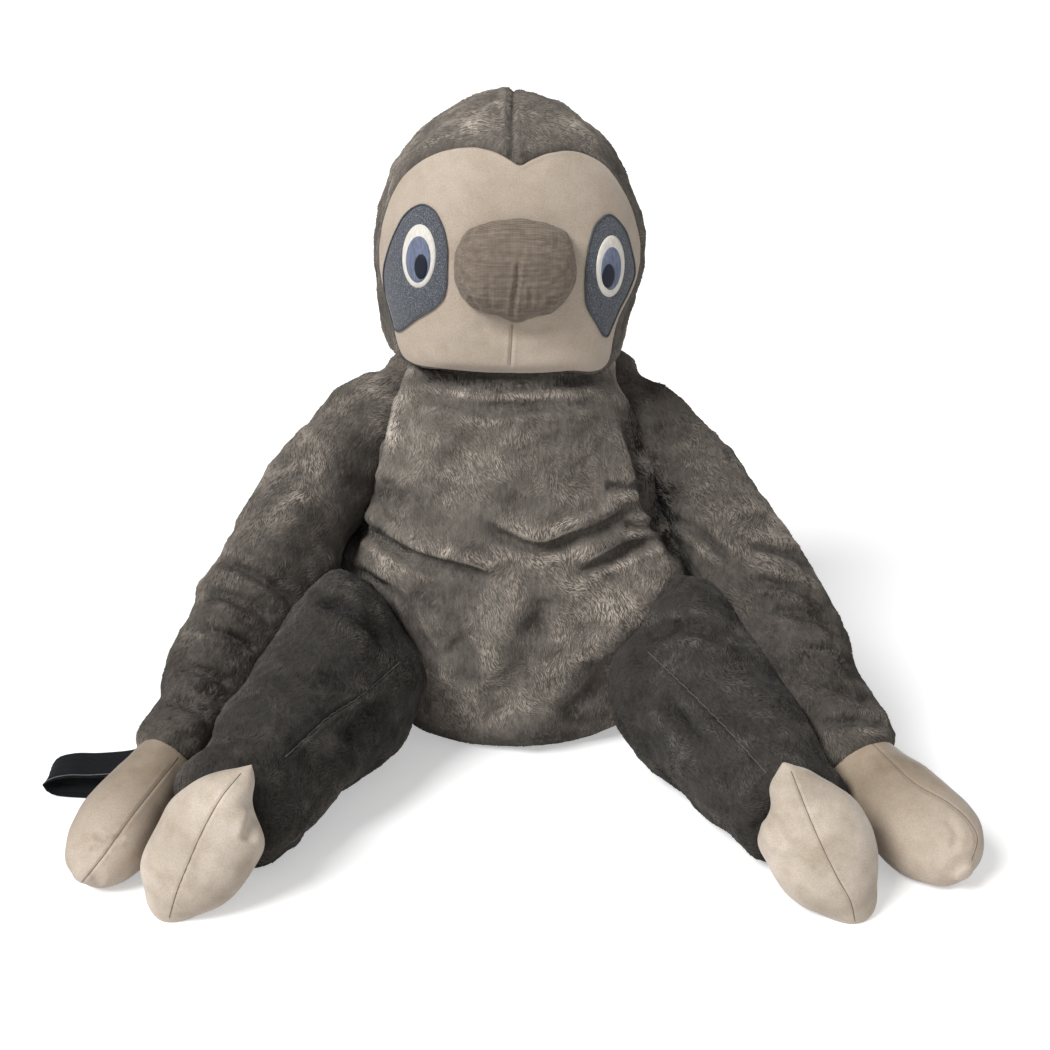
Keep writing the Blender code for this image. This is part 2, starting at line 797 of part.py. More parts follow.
def ellipse_outline(x, z, half_width, half_height, tilt):
    points = []
    for i in range(EYE_SIDES):
        angle = 2 * math.pi * i / EYE_SIDES
        across, up = half_width * math.cos(angle), half_height * math.sin(angle)
        points.append(
            (
                x + across * math.cos(tilt) - up * math.sin(tilt),
                z + up * math.cos(tilt) + across * math.sin(tilt),
            )
        )
    return points


def applique(name, outline, start, thickness):
    """A thin piece that follows the head's surface, from one distance above it to another."""
    piece = tilted(prism(name, outline, NOSE_FRONT_Y - OVERRUN, FACE_EDGE_Y))
    outer = outside_form("layer_outside", head_stations(start + thickness), BODY_SIDES)
    inner = outside_form("layer_inside", head_stations(start), BODY_SIDES)
    combine(piece, outer, "INTERSECT")
    return combine(piece, inner, "DIFFERENCE")


def build_eyes(materials, pivot):
    for name, side in SIDES.items():
        tilt = math.radians(EYE_TILT_DEGREES) * side
        x = side * EYE_X
        patch = [
            (x + side * across * EYE_PATCH_HALF_WIDTH, EYE_PATCH_Z + up * EYE_PATCH_HALF_HEIGHT)
            for across, up in patch_shares
        ]
        white = ellipse_outline(x, EYE_WHITE_Z, EYE_WHITE_HALF_WIDTH, EYE_WHITE_HALF_HEIGHT, tilt)
        iris = ellipse_outline(x, EYE_WHITE_Z, IRIS_HALF_WIDTH, IRIS_HALF_HEIGHT, tilt)
        pupil = ellipse_outline(x, EYE_WHITE_Z - PUPIL_DROP, PUPIL_HALF_WIDTH, PUPIL_HALF_HEIGHT, tilt)
        layers = (
            ("eye_patch_", patch, "patch_felt", CANVAS_THICKNESS),
            ("eye_white_", white, "thread_white", EMBROIDERY_THICKNESS),
            ("iris_", iris, "thread_blue", EMBROIDERY_THICKNESS),
            ("pupil_", pupil, "thread_black", EMBROIDERY_THICKNESS),
        )
        height = SEAM_GAP
        for label, outline, material, thickness in layers:
            piece = applique(label + name, outline, height, thickness)
            place(piece, label + name, materials[material], pivot)
            height += thickness + SEAM_GAP


def build_head(materials, pad_outer):
    centre = Z_AXIS * DOME_CENTRE_HEIGHT
    pivot = make_pivot("head_nod_pivot", centre)
    stations = head_stations()
    shell = outside_form("head_outside", stations, BODY_SIDES)
    combine(shell, lining_form("head_lining", stations, BODY_LINING_SIDES, PLUSH_THICKNESS), "DIFFERENCE")
    filling = lining_form("head_filling", stations, BODY_LINING_SIDES, PLUSH_THICKNESS + SEAM_GAP)

    facet = math.cos(math.pi / DOME_SEGMENTS)
    rim = ball("head_rim", centre, (DOME_RADIUS + SEAM_GAP) / facet**2, DOME_SEGMENTS, Z_AXIS)
    well = socket("pad_well", centre, pad_outer, PAD_SEGMENTS, X_AXIS, PAD_RINGS)
    reach = pad_outer * math.sin(math.radians(PAD_WELL_DEGREES))
    column = block(
        "pad_well_column",
        centre + Vector((-reach, -reach, 0.0)),
        centre + Vector((reach, reach, pad_outer + OVERRUN)),
    )
    combine(well, column, "INTERSECT")
    for tool in (rim, well):
        combine(filling, tool, "DIFFERENCE", keep_tool=True)
        combine(shell, tool, "DIFFERENCE")

    hood = copy_of(shell, "hood")
    front = NOSE_FRONT_Y - OVERRUN
    panel = tilted(prism("face_cut", face_outline(-SEAM_GAP / 2), front, FACE_EDGE_Y))
    rest = tilted(prism("hood_cut", face_outline(SEAM_GAP / 2), front, FACE_EDGE_Y + SEAM_GAP))
    face = combine(shell, panel, "INTERSECT")
    combine(hood, rest, "DIFFERENCE")
    middle = head_tilt() @ (Z_AXIS * HEAD_BOTTOM)
    hood_left, hood_right = split(hood, middle, head_tilt().to_3x3() @ X_AXIS)
    place(face, "face_panel", materials["face_suede"], pivot)
    place(hood_left, "hood_left", materials["plush"], pivot)
    place(hood_right, "hood_right", materials["plush"], pivot)
    place(filling, "head_filling", materials["fibre_fill"], pivot)

    cover = nose_form("nose_cover", 0.0, NOSE_SIDES)
    combine(cover, nose_form("nose_lining", CANVAS_THICKNESS, NOSE_SIDES), "DIFFERENCE")
    stuffing = nose_form("nose_filling", CANVAS_THICKNESS + SEAM_GAP, NOSE_SIDES)
    for obj in (cover, stuffing):
        behind = outside_form("face_behind_nose", head_stations(SEAM_GAP), BODY_SIDES)
        combine(obj, behind, "DIFFERENCE")
    place(cover, "nose_cover", materials["nose_linen"], pivot)
    place(stuffing, "nose_filling", materials["fibre_fill"], pivot)
    build_eyes(materials, pivot)


def cut_end(obj, point, direction, centre, radius, axis):
    """Ends a limb at a plane, with a round socket for the ball beyond it."""
    combine(obj, slab("end_cut", point, direction, TORSO_HEIGHT), "DIFFERENCE")
    return combine(obj, socket("end_socket", centre, radius, BALL_SEGMENTS, axis), "DIFFERENCE")


def limb_shell(stations, centre, radius, axis):
    """A plush tube with a ball at its root, and the filling inside it."""
    shell = outside_form("limb", stations, LIMB_SIDES)
    combine(shell, ball("root_ball", centre, radius, BALL_SEGMENTS, axis), "UNION")
    combine(shell, lining_form("lining", stations, LIMB_LINING_SIDES, PLUSH_THICKNESS), "DIFFERENCE")
    return shell, lining_form("filling", stations, LIMB_LINING_SIDES, PLUSH_THICKNESS + SEAM_GAP)


def seam_normal(axis, along, side, degrees):
    """The outward normal of a limb's seam plane: the seam is turned from the top to face inward."""
    return Matrix.Rotation(math.radians(degrees) * side, 3, along) @ (-axis * side)


def wrist_axis(side):
    return level_axis(mirrored(WRIST, side), mirrored(HAND_TIP, side))


def ankle_axis(side):
    return level_axis(*leg_ends(side))


def build_arm(name, side, materials):
    shoulder, wrist = mirrored(SHOULDER, side), mirrored(WRIST, side)
    pivot = make_pivot("shoulder_pivot_" + name, shoulder)
    sleeve, filling = limb_shell(arm_stations(side), shoulder, SHOULDER_BALL_RADIUS, shoulder_axis(side))
    direction = (mirrored(HAND_TIP, side) - wrist).normalized()
    for obj, step_back in ((sleeve, CUFF_STEP_BACK), (filling, CUFF_STEP_BACK + PLUSH_THICKNESS)):
        end = wrist - direction * step_back
        cut_end(obj, end, direction, wrist, WRIST_BALL_RADIUS, wrist_axis(side))
    place(sleeve, "sleeve_" + name, materials["plush"], pivot)
    place(filling, "arm_filling_" + name, materials["fibre_fill"], pivot)


def paw_shell(stations, centre, radius, axis):
    """A suede bag with a ball at its root, and the filling inside it."""
    parts = []
    for inset in (0.0, SUEDE_THICKNESS, SUEDE_THICKNESS + SEAM_GAP):
        if inset:
            obj = lining_form("paw", stations, PAW_LINING_SIDES, inset)
            segments = BALL_LINING_SEGMENTS
        else:
            obj = outside_form("paw", stations, PAW_SIDES)
            segments = BALL_SEGMENTS
        combine(obj, ball("root_ball", centre, radius - inset, segments, axis), "UNION")
        parts.append(obj)
    shell, lining, filling = parts
    combine(shell, lining, "DIFFERENCE")
    cut_at_floor(shell)
    return shell, filling


def build_hand(name, side, materials):
    wrist = mirrored(WRIST, side)
    pivot = make_pivot("wrist_pivot_" + name, wrist)
    shell, filling = paw_shell(hand_stations(side), wrist, WRIST_BALL_RADIUS, wrist_axis(side))
    along = (mirrored(HAND_TIP, side) - wrist).normalized()
    outward = seam_normal(wrist_axis(side), along, side, PAW_SEAM_TURN_DEGREES)
    outer, inner = split(shell, wrist, outward)
    place(outer, "hand_outer_panel_" + name, materials["hand_suede"], pivot)
    place(inner, "hand_inner_panel_" + name, materials["hand_suede"], pivot)
    place(filling, "hand_filling_" + name, materials["fibre_fill"], pivot)


def build_leg(name, side, materials):
    hip, ankle = leg_ends(side)
    pivot = make_pivot("hip_pivot_" + name, hip)
    shell, filling = limb_shell(leg_stations(side), hip, HIP_BALL_RADIUS, hip_axis(side))
    direction = (ankle - hip).normalized()
    for obj, step_back in ((shell, SHIN_STEP_BACK), (filling, SHIN_STEP_BACK + PLUSH_THICKNESS)):
        end = ankle - direction * step_back
        cut_end(obj, end, direction, ankle, ANKLE_BALL_RADIUS, ankle_axis(side))
    cut_at_floor(shell)
    outward = seam_normal(ankle_axis(side), direction, side, LEG_SEAM_TURN_DEGREES)
    outer, inner = split(shell, hip, outward)
    place(outer, "leg_outer_panel_" + name, materials["plush"], pivot)
    place(inner, "leg_inner_panel_" + name, materials["plush"], pivot)
    place(filling, "leg_filling_" + name, materials["fibre_fill"], pivot)


def build_foot(name, side, materials):
    _, ankle = leg_ends(side)
    heel, _, _, across, _ = foot_frame(side)
    pivot = make_pivot("ankle_pivot_" + name, ankle)
    shell, filling = paw_shell(foot_stations(side), ankle, ANKLE_BALL_RADIUS, ankle_axis(side))
    outward = across if across.x * side > 0 else -across
    outer, inner = split(shell, heel, outward)
    place(outer, "foot_outer_panel_" + name, materials["hand_suede"], pivot)
    place(inner, "foot_inner_panel_" + name, materials["hand_suede"], pivot)
    place(filling, "foot_filling_" + name, materials["fibre_fill"], pivot)


def loop_frame():
    """Where the webbing is sewn on, the way it points out, and the sleeve's own line there."""
    side = SIDES["right"]
    share = LOOP_ROOT_SHARE
    near, far = arm_stations(side)[-2], arm_stations(side)[-1]
    line = (far[0] - near[0]).normalized()
    centre = near[0].lerp(far[0], share)
    level = Z_AXIS.cross(line).normalized() * side
    if level.x * side < 0:
        level = -level
    below = line.cross(level)
    if below.z > 0:
        below = -below
    radius = near[3] + (far[3] - near[3]) * share
    down = math.radians(LOOP_ROOT_DOWN_DEGREES)
    root = centre + (level * math.cos(down) + below * math.sin(down)) * (radius + LOOP_ROOT_OFFSET)
    turn = math.radians(LOOP_OUT_DEGREES)
    out = Vector((side * math.cos(turn), math.sin(turn), 0.0))
    return root, out, line


def build_loop(materials):
    root, out, line = loop_frame()
    pivot = make_pivot("loop_pivot", root)
    flat = Z_AXIS.cross(out)
    if flat.dot(line) < 0:
        flat = -flat
    bm = bmesh.new()
    floor = WEBBING_THICKNESS / 2
    edges = []
    for along, up in loop_path_shares:
        height = floor + up * (root.z - floor)
        point = Vector((root.x, root.y, height)) + out * along * LOOP_LENGTH
        width_way = flat.lerp(line, max(0.0, 1 - along / LOOP_TWIST_SHARE)).normalized()
        edges.append([bm.verts.new(point + width_way * WEBBING_WIDTH / 2 * end) for end in (-1, 1)])
    for (a, b), (c, d) in zip(edges, edges[1:] + edges[:1]):
        bm.faces.new((a, b, d))
        bm.faces.new((a, d, c))
    webbing = object_from_bmesh("hand_loop", bm)
    thick = webbing.modifiers.new("thickness", "SOLIDIFY")
    thick.thickness = WEBBING_THICKNESS
    thick.offset = 0.0
    thick.use_even_offset = True
    apply_modifiers(webbing)
    place(webbing, "hand_loop", materials["webbing"], pivot)


clear_scene()
PARTS = make_collection("plush_sloth")


def main():
    materials = make_materials()
    build_torso(materials)
    pad_outer = build_neck(materials)
    build_head(materials, pad_outer)
    for name, side in SIDES.items():
        build_arm(name, side, materials)
        build_hand(name, side, materials)
        build_leg(name, side, materials)
        build_foot(name, side, materials)
    build_loop(materials)


main()
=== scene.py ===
"""Seated plush sloth: stuffed plush forms with folds, seams and pile, a suede face and suede paws.

Metres, +Z up, the face looks along -Y. The toy's own left side is at +X.
"""

import math

import bpy
import numpy as np
from mathutils import Matrix, Vector
from mathutils.bvhtree import BVHTree


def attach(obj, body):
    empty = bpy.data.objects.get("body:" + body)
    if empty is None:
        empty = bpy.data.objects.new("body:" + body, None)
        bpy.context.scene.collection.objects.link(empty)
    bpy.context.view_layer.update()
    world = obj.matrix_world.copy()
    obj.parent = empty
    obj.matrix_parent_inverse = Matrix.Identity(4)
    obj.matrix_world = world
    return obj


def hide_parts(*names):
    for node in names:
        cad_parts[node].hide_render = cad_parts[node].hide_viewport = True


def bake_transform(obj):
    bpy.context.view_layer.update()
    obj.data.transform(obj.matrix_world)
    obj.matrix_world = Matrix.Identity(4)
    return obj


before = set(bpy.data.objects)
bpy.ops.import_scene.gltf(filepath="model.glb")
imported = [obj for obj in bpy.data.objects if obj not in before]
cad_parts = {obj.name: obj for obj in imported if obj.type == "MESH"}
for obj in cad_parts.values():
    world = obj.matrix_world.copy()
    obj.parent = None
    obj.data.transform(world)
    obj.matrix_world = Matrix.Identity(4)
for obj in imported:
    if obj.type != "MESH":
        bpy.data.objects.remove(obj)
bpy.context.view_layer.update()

SIDES = {"left": 1.0, "right": -1.0}

# Camera, as the photograph was taken
PHOTO_SIZE = 1050
FOCAL_PIXELS = 1717.2
EYE = np.array((0.011, -1.616, 0.84))
AIM = np.array((0.011, -0.1, 0.2275))
FORWARD = (AIM - EYE) / np.linalg.norm(AIM - EYE)
RIGHT = np.cross(FORWARD, (0.0, 0.0, 1.0))
RIGHT /= np.linalg.norm(RIGHT)
UP = np.cross(RIGHT, FORWARD)
FLOOR_CLEAR = 0.0004


def pixels(points):
    """Where the points show in the photograph's frame."""
    away = points - EYE
    depth = away @ FORWARD
    x = PHOTO_SIZE / 2 + FOCAL_PIXELS * (away @ RIGHT) / depth
    y = PHOTO_SIZE / 2 - FOCAL_PIXELS * (away @ UP) / depth
    return np.stack([x, y], -1)


def ray_through(pixel):
    direction = (
        FORWARD
        + RIGHT * (pixel[0] - PHOTO_SIZE / 2) / FOCAL_PIXELS
        - UP * (pixel[1] - PHOTO_SIZE / 2) / FOCAL_PIXELS
    )
    return direction / np.linalg.norm(direction)


# Small numeric helpers


def unit(vectors):
    return vectors / np.maximum(np.linalg.norm(vectors, axis=-1, keepdims=True), 1e-12)


def bell(value, middle, width):
    """One at the middle, falling away to both sides."""
    return np.exp(-(((value - middle) / width) ** 2))


def smoothstep(low, high, value):
    t = np.clip((value - low) / (high - low), 0.0, 1.0)
    return t * t * (3 - 2 * t)


def spline(keys, places, at):
    """A curve through the rows of keys, at the given places along it, with no overshoot in place."""
    keys, places = np.asarray(keys, float), np.asarray(places, float)
    slopes = np.gradient(keys, places, axis=0)
    i = np.clip(np.searchsorted(places, at, side="right") - 1, 0, len(places) - 2)
    step = (places[i + 1] - places[i])[:, None]
    t = ((at - places[i])[:, None]) / step
    a, b = keys[i], keys[i + 1]
    return (
        (2 * t**3 - 3 * t**2 + 1) * a
        + (t**3 - 2 * t**2 + t) * step * slopes[i]
        + (3 * t**2 - 2 * t**3) * b
        + (t**3 - t**2) * step * slopes[i + 1]
    )


class Waves:
    """A smooth random field: many plane waves between two wavelengths."""

    def __init__(self, seed, shortest, longest, count):
        rng = np.random.default_rng(seed)
        length = np.exp(rng.uniform(math.log(shortest), math.log(longest), count))
        self.k = unit(rng.normal(size=(count, 3))) * (2 * math.pi / length)[:, None]
        self.phase = rng.uniform(0, 2 * math.pi, count)
        self.scale = math.sqrt(2 / count)

    def __call__(self, points):
        return np.sin(points @ self.k.T + self.phase).sum(-1) * self.scale


# Stuffed forms. A station is centre, across, up, half across, half up, squareness


def station(centre, across, up, half_across, half_up, squareness):
    return np.concatenate([centre, across, up, [half_across, half_up, squareness]])


X_AXIS = np.array((1.0, 0.0, 0.0))
Y_AXIS = np.array((0.0, 1.0, 0.0))
Z_AXIS = np.array((0.0, 0.0, 1.0))


class Form:
    """A grid of rows round a stuffed shape, with a pole at each end."""

    def __init__(self, stations, around, rows):
        keys = np.array(stations)
        step = np.linalg.norm(np.diff(keys[:, :3], axis=0), axis=1)
        grow = np.abs(np.diff(keys[:, 9:11], axis=0)).max(1)
        places = np.concatenate([[0.0], np.cumsum(np.hypot(step, grow) + 1e-5)])
        found = spline(keys, places, np.linspace(0.0, places[-1], rows))
        centre, across, up = found[:, :3], unit(found[:, 3:6]), unit(found[:, 6:9])
        half = np.maximum(found[:, 9:11], 0.0)
        half[[0, -1]] = 0.0
        angle = 2 * math.pi * np.arange(around) / around
        power = 2 / found[:, 11][:, None]
        c, s = np.cos(angle)[None], np.sin(angle)[None]
        c = np.sign(c) * np.abs(c) ** power * half[:, :1]
        s = np.sign(s) * np.abs(s) ** power * half[:, 1:]
        self.points = centre[:, None] + across[:, None] * c[..., None] + up[:, None] * s[..., None]
        self.normals = self.find_normals()
        self.creases = np.zeros(self.points.shape[:2])

    def find_normals(self):
        p = self.points
        round_way = np.roll(p, -1, 1) - np.roll(p, 1, 1)
        long_way = np.gradient(p, axis=0)
        n = unit(np.cross(round_way, long_way))
        for row, near in ((0, 1), (-1, -2)):
            n[row] = unit(n[near].mean(0))
        middle = p.mean((0, 1))
        if ((p - middle) * n).sum(-1).mean() < 0:
            n = -n
        return n

    def crease(self, folds, strength=1.0, share=1.0):
        """Presses folds in and keeps their depth, which the pile turns into painted shade in the fold valleys
        and painted light on their banks.
        """
        self.creases = fold_depth(self.points, self.normals, folds, strength)
        self.push(self.creases * share)

    def push(self, amount):
        """Moves the surface out by an amount for each point."""
        amount = amount.copy()
        for row in (0, -1):
            amount[row] = amount[row].mean()
        self.points = self.points + self.normals * amount[..., None]
        self.normals = self.find_normals()

    def turn(self, matrix):
        m = np.array(matrix)
        self.points = self.points @ m[:3, :3].T + m[:3, 3]
        self.normals = self.normals @ m[:3, :3].T

    def rest_on_floor(self):
        z = self.points[..., 2]
        self.points[..., 2] = np.where(z < FLOOR_CLEAR, FLOOR_CLEAR, z)

    def mesh(self, name, material):
        rows, around, _ = self.points.shape
        inner = self.points[1:-1].reshape(-1, 3)
        verts = np.concatenate([self.points[:1, 0], inner, self.points[-1:, 0]])
        last = len(verts) - 1
        i = np.arange(around)
        j = (i + 1) % around
        base = 1 + np.arange(rows - 3)[:, None] * around
        quads = np.stack([base + i, base + j, base + around + j, base + around + i], -1).reshape(-1, 4)
        low = np.stack([np.zeros_like(i), 1 + j, 1 + i], -1)
        top_row = 1 + (rows - 3) * around
        high = np.stack([np.full_like(i, last), top_row + i, top_row + j], -1)
        u = np.arange(around + 1) / around
        v = np.linspace(0, 1, rows)
        quad_u = np.stack([u[i], u[i + 1], u[i + 1], u[i]], -1)
        quad_u = np.broadcast_to(quad_u, (rows - 3, around, 4))
        quad_v = np.stack([v[1:-2], v[1:-2], v[2:-1], v[2:-1]], -1)[:, None]
        quad_v = np.broadcast_to(quad_v, (rows - 3, around, 4))
        mid_u = (u[i] + u[i + 1]) / 2
        low_uv = np.stack([mid_u, 0 * mid_u, u[i + 1], 0 * mid_u + v[1], u[i], 0 * mid_u + v[1]], -1)
        high_uv = np.stack([mid_u, 0 * mid_u + 1, u[i], 0 * mid_u + v[-2], u[i + 1], 0 * mid_u + v[-2]], -1)
        uv = np.concatenate([
            np.stack([quad_u, quad_v], -1).reshape(-1, 2),
            low_uv.reshape(-1, 2),
            high_uv.reshape(-1, 2),
        ])
        flip = self.volume_sign(verts, quads) < 0
        return make_mesh(name, verts, [quads, low, high], uv, material, flip)

    def volume_sign(self, verts, quads):
        a, b, c = verts[quads[:, 0]], verts[quads[:, 1]], verts[quads[:, 2]]
        return np.sign((a * np.cross(b, c)).sum())


def make_mesh(name, verts, groups, uv, material, flip=False):
    """A mesh from arrays of faces, each group with as many corners a face."""
    mesh = bpy.data.meshes.new(name)
    if flip:
        starts, turned = 0, []
        for faces in groups:
            size = faces.shape[1]
            piece = uv[starts:starts + faces.size].reshape(-1, size, 2)[:, ::-1]
            turned.append(piece.reshape(-1, 2))
            starts += faces.size
        uv = np.concatenate(turned)
        groups = [faces[:, ::-1] for faces in groups]
    loops = np.concatenate([faces.ravel() for faces in groups]).astype(np.int32)
    sizes = np.concatenate([np.full(len(faces), faces.shape[1]) for faces in groups])
    starts = np.concatenate([[0], np.cumsum(sizes)[:-1]]).astype(np.int32)
    mesh.vertices.add(len(verts))
    mesh.vertices.foreach_set("co", verts.astype(np.float32).ravel())
    mesh.loops.add(len(loops))
    mesh.loops.foreach_set("vertex_index", loops)
    mesh.polygons.add(len(sizes))
    mesh.polygons.foreach_set("loop_start", starts)
    mesh.update(calc_edges=True)
    layer = mesh.uv_layers.new(name="OFBake")
    layer.uv.foreach_set("vector", uv.astype(np.float32).ravel())
    mesh.polygons.foreach_set("use_smooth", np.ones(len(sizes), bool))
    mesh.validate()
    obj = bpy.data.objects.new(name, mesh)
    bpy.context.scene.collection.objects.link(obj)
    mesh.materials.append(material)
    return obj


# Folds drawn along pixel paths


def path_distance(at, path):
    """Distance from each pixel to a path, the side it lies on, and how far along it is."""
    path = np.asarray(path, float)
    best = np.full(len(at), 1e9)
    side = np.zeros(len(at))
    place = np.zeros(len(at))
    lengths = np.linalg.norm(np.diff(path, axis=0), axis=1)
    total, run = lengths.sum(), 0.0
    for a, b, length in zip(path, path[1:], lengths):
        line = (b - a) / length
        off = at - a
        t = np.clip(off @ line, 0, length)
        gap = off - t[:, None] * line
        d = np.hypot(gap[:, 0], gap[:, 1])
        closer = d < best
        best = np.where(closer, d, best)
        cross = line[0] * off[:, 1] - line[1] * off[:, 0]
        side = np.where(closer, np.sign(cross), side)
        place = np.where(closer, (run + t) / total, place)
        run += length
    return best, side, place


def smooth_path(path, steps=6):
    path = np.asarray(path, float)
    if len(path) < 3:
        return path
    places = np.concatenate([[0.0], np.cumsum(np.linalg.norm(np.diff(path, axis=0), axis=1))])
    at = np.linspace(0, places[-1], steps * (len(path) - 1) + 1)
    return spline(path, places, at)


def shift_near(form, moves):
    """Leans a form's shape over near places of the photograph: place, radius in pixels, and the move."""
    at = pixels(form.points)
    total = np.zeros_like(form.points)
    for place, radius, move in moves:
        gap = np.hypot(*(at - np.array(place, float)).transpose(2, 0, 1))
        total += bell(gap, 0.0, radius)[..., None] * np.array(move)
    form.points = form.points + total
    form.normals = form.find_normals()


def fold_depth(points, normals, folds, strength=1.0):
    """The push of every fold on the points that face the camera."""
    flat, n = points.reshape(-1, 3), normals.reshape(-1, 3)
    at = pixels(flat)
    to_eye = unit(EYE - flat)
    facing = smoothstep(0.02, 0.3, (n * to_eye).sum(-1))
    total = np.zeros(len(flat))
    for path, width, depth, lean in folds:
        path = smooth_path(path)
        low, high = path.min(0) - 4 * width, path.max(0) + 4 * width
        near = ((at > low) & (at < high)).all(1) & (facing > 0)
        if not near.any():
            continue
        d, side, place = path_distance(at[near], path)
        s = d / width
        ends = smoothstep(0, 0.18, place) * smoothstep(0, 0.18, 1 - place)
        valley = -np.exp(-s * s)
        bank = np.exp(-((s - 1.5) ** 2) / 0.7) * (0.45 + 0.4 * lean * side)
        total[near] += (valley + bank) * depth * strength * ends
    return (total * facing).reshape(points.shape[:2])


# Materials


class Nodes:
    """A short way to write a node material."""

    def __init__(self, name, roughness, sheen=0.0, sheen_roughness=0.5, specular=0.25):
        self.material = bpy.data.materials.new(name)
        self.material.use_nodes = True
        self.tree = self.material.node_tree
        self.shader = self.tree.nodes["Principled BSDF"]
        self.shader.inputs["Roughness"].default_value = roughness
        self.shader.inputs["Sheen Weight"].default_value = sheen
        self.shader.inputs["Sheen Roughness"].default_value = sheen_roughness
        self.shader.inputs["Specular IOR Level"].default_value = specular
        self.coordinates = self.tree.nodes.new("ShaderNodeTexCoord").outputs["Object"]

    def link(self, source, target):
        self.tree.links.new(source, target)

    def mapped(self, scale):
        node = self.tree.nodes.new("ShaderNodeMapping")
        node.inputs["Scale"].default_value = scale
        self.link(self.coordinates, node.inputs["Vector"])
        return node.outputs[0]

    def noise(self, scale, detail=3.0, roughness=0.55, source=None):
        node = self.tree.nodes.new("ShaderNodeTexNoise")
        node.inputs["Scale"].default_value = scale
        node.inputs["Detail"].default_value = detail
        node.inputs["Roughness"].default_value = roughness
        self.link(source or self.coordinates, node.inputs["Vector"])
        return node.outputs["Fac"]

    def wave(self, scale, axis, distortion, detail=0.0):
        node = self.tree.nodes.new("ShaderNodeTexWave")
        node.bands_direction = axis
        node.inputs["Scale"].default_value = scale
        node.inputs["Distortion"].default_value = distortion
        node.inputs["Detail"].default_value = detail
        self.link(self.coordinates, node.inputs["Vector"])
        return node.outputs["Fac"]

    def ramp(self, value, low, high, low_at=0.3, high_at=0.7):
        node = self.tree.nodes.new("ShaderNodeValToRGB")
        node.color_ramp.elements[0].position = low_at
        node.color_ramp.elements[0].color = (*low, 1)
        node.color_ramp.elements[1].position = high_at
        node.color_ramp.elements[1].color = (*high, 1)
        self.link(value, node.inputs[0])
        return node.outputs[0]

    def range(self, value, low, high, from_low=0.0, from_high=1.0):
        node = self.tree.nodes.new("ShaderNodeMapRange")
        node.inputs["From Min"].default_value = from_low
        node.inputs["From Max"].default_value = from_high
        node.inputs["To Min"].default_value = low
        node.inputs["To Max"].default_value = high
        self.link(value, node.inputs["Value"])
        return node.outputs[0]

    def maths(self, operation, a, b):
        node = self.tree.nodes.new("ShaderNodeMath")
        node.operation = operation
        for socket, value in zip(node.inputs, (a, b)):
            if isinstance(value, float):
                socket.default_value = value
            else:
                self.link(value, socket)
        return node.outputs[0]

    def mix(self, a, b, share, kind="MIX"):
        node = self.tree.nodes.new("ShaderNodeMix")
        node.data_type = "RGBA"
        node.blend_type = kind
        for socket, value in ((node.inputs[0], share), (node.inputs[6], a), (node.inputs[7], b)):
            if isinstance(value, (float, tuple)):
                socket.default_value = value if isinstance(value, float) else (*value, 1)
            else:
                self.link(value, socket)
        return node.outputs[2]

    def colour(self, value):
        self.link(value, self.shader.inputs["Base Color"])

    def rough(self, value):
        self.link(value, self.shader.inputs["Roughness"])

    def bump(self, height, distance, strength=1.0):
        node = self.tree.nodes.new("ShaderNodeBump")
        node.inputs["Distance"].default_value = distance
        node.inputs["Strength"].default_value = strength
        self.link(height, node.inputs["Height"])
        self.link(node.outputs[0], self.shader.inputs["Normal"])

    def island(self):
        return self.tree.nodes.new("ShaderNodeNewGeometry").outputs["Random Per Island"]


def plush_skin(name, low, high):
    n = Nodes(name, 0.95, sheen=0.05, sheen_roughness=0.6, specular=0.05)
    patches = n.noise(26.0, 3.0)
    streaks = n.noise(240.0, 3.0, 0.6, n.mapped((1.0, 1.0, 0.25)))
    base = n.ramp(patches, low, high)
    fine = n.ramp(streaks, (0.6, 0.6, 0.6), (1.25, 1.25, 1.25), 0.25, 0.75)
    n.colour(n.mix(base, fine, 1.0, "MULTIPLY"))
    n.rough(n.range(streaks, 0.88, 1.0))
    n.bump(streaks, 0.003, 0.8)
    return n.material


def suede(name, low, high, dirt, pale=None):
    n = Nodes(name, 0.88, sheen=0.3, sheen_roughness=0.45, specular=0.15)
    clouds = n.noise(17.0, 3.0, 0.55)
    nap = n.noise(900.0, 4.0, 0.7)
    spots = n.noise(60.0, 3.0, 0.6)
    base = n.ramp(clouds, low, high, 0.32, 0.68)
    if pale is not None:
        apart = n.tree.nodes.new("ShaderNodeSeparateXYZ")
        n.link(n.coordinates, apart.inputs[0])
        uneven = n.maths("ADD", apart.outputs["Y"], n.range(n.noise(34.0, 2.0), -0.02, 0.02))
        base = n.mix(base, pale, n.range(uneven, 0.0, 0.85, -0.318, -0.388))
    worn = n.ramp(spots, dirt, (1.0, 1.0, 1.0), 0.3, 0.55)
    speckle = n.ramp(nap, (0.84, 0.84, 0.84), (1.14, 1.14, 1.14), 0.32, 0.68)
    n.colour(n.mix(n.mix(base, worn, 1.0, "MULTIPLY"), speckle, 1.0, "MULTIPLY"))
    n.rough(n.range(clouds, 0.8, 0.96))
    n.bump(nap, 0.0004, 0.5)
    return n.material


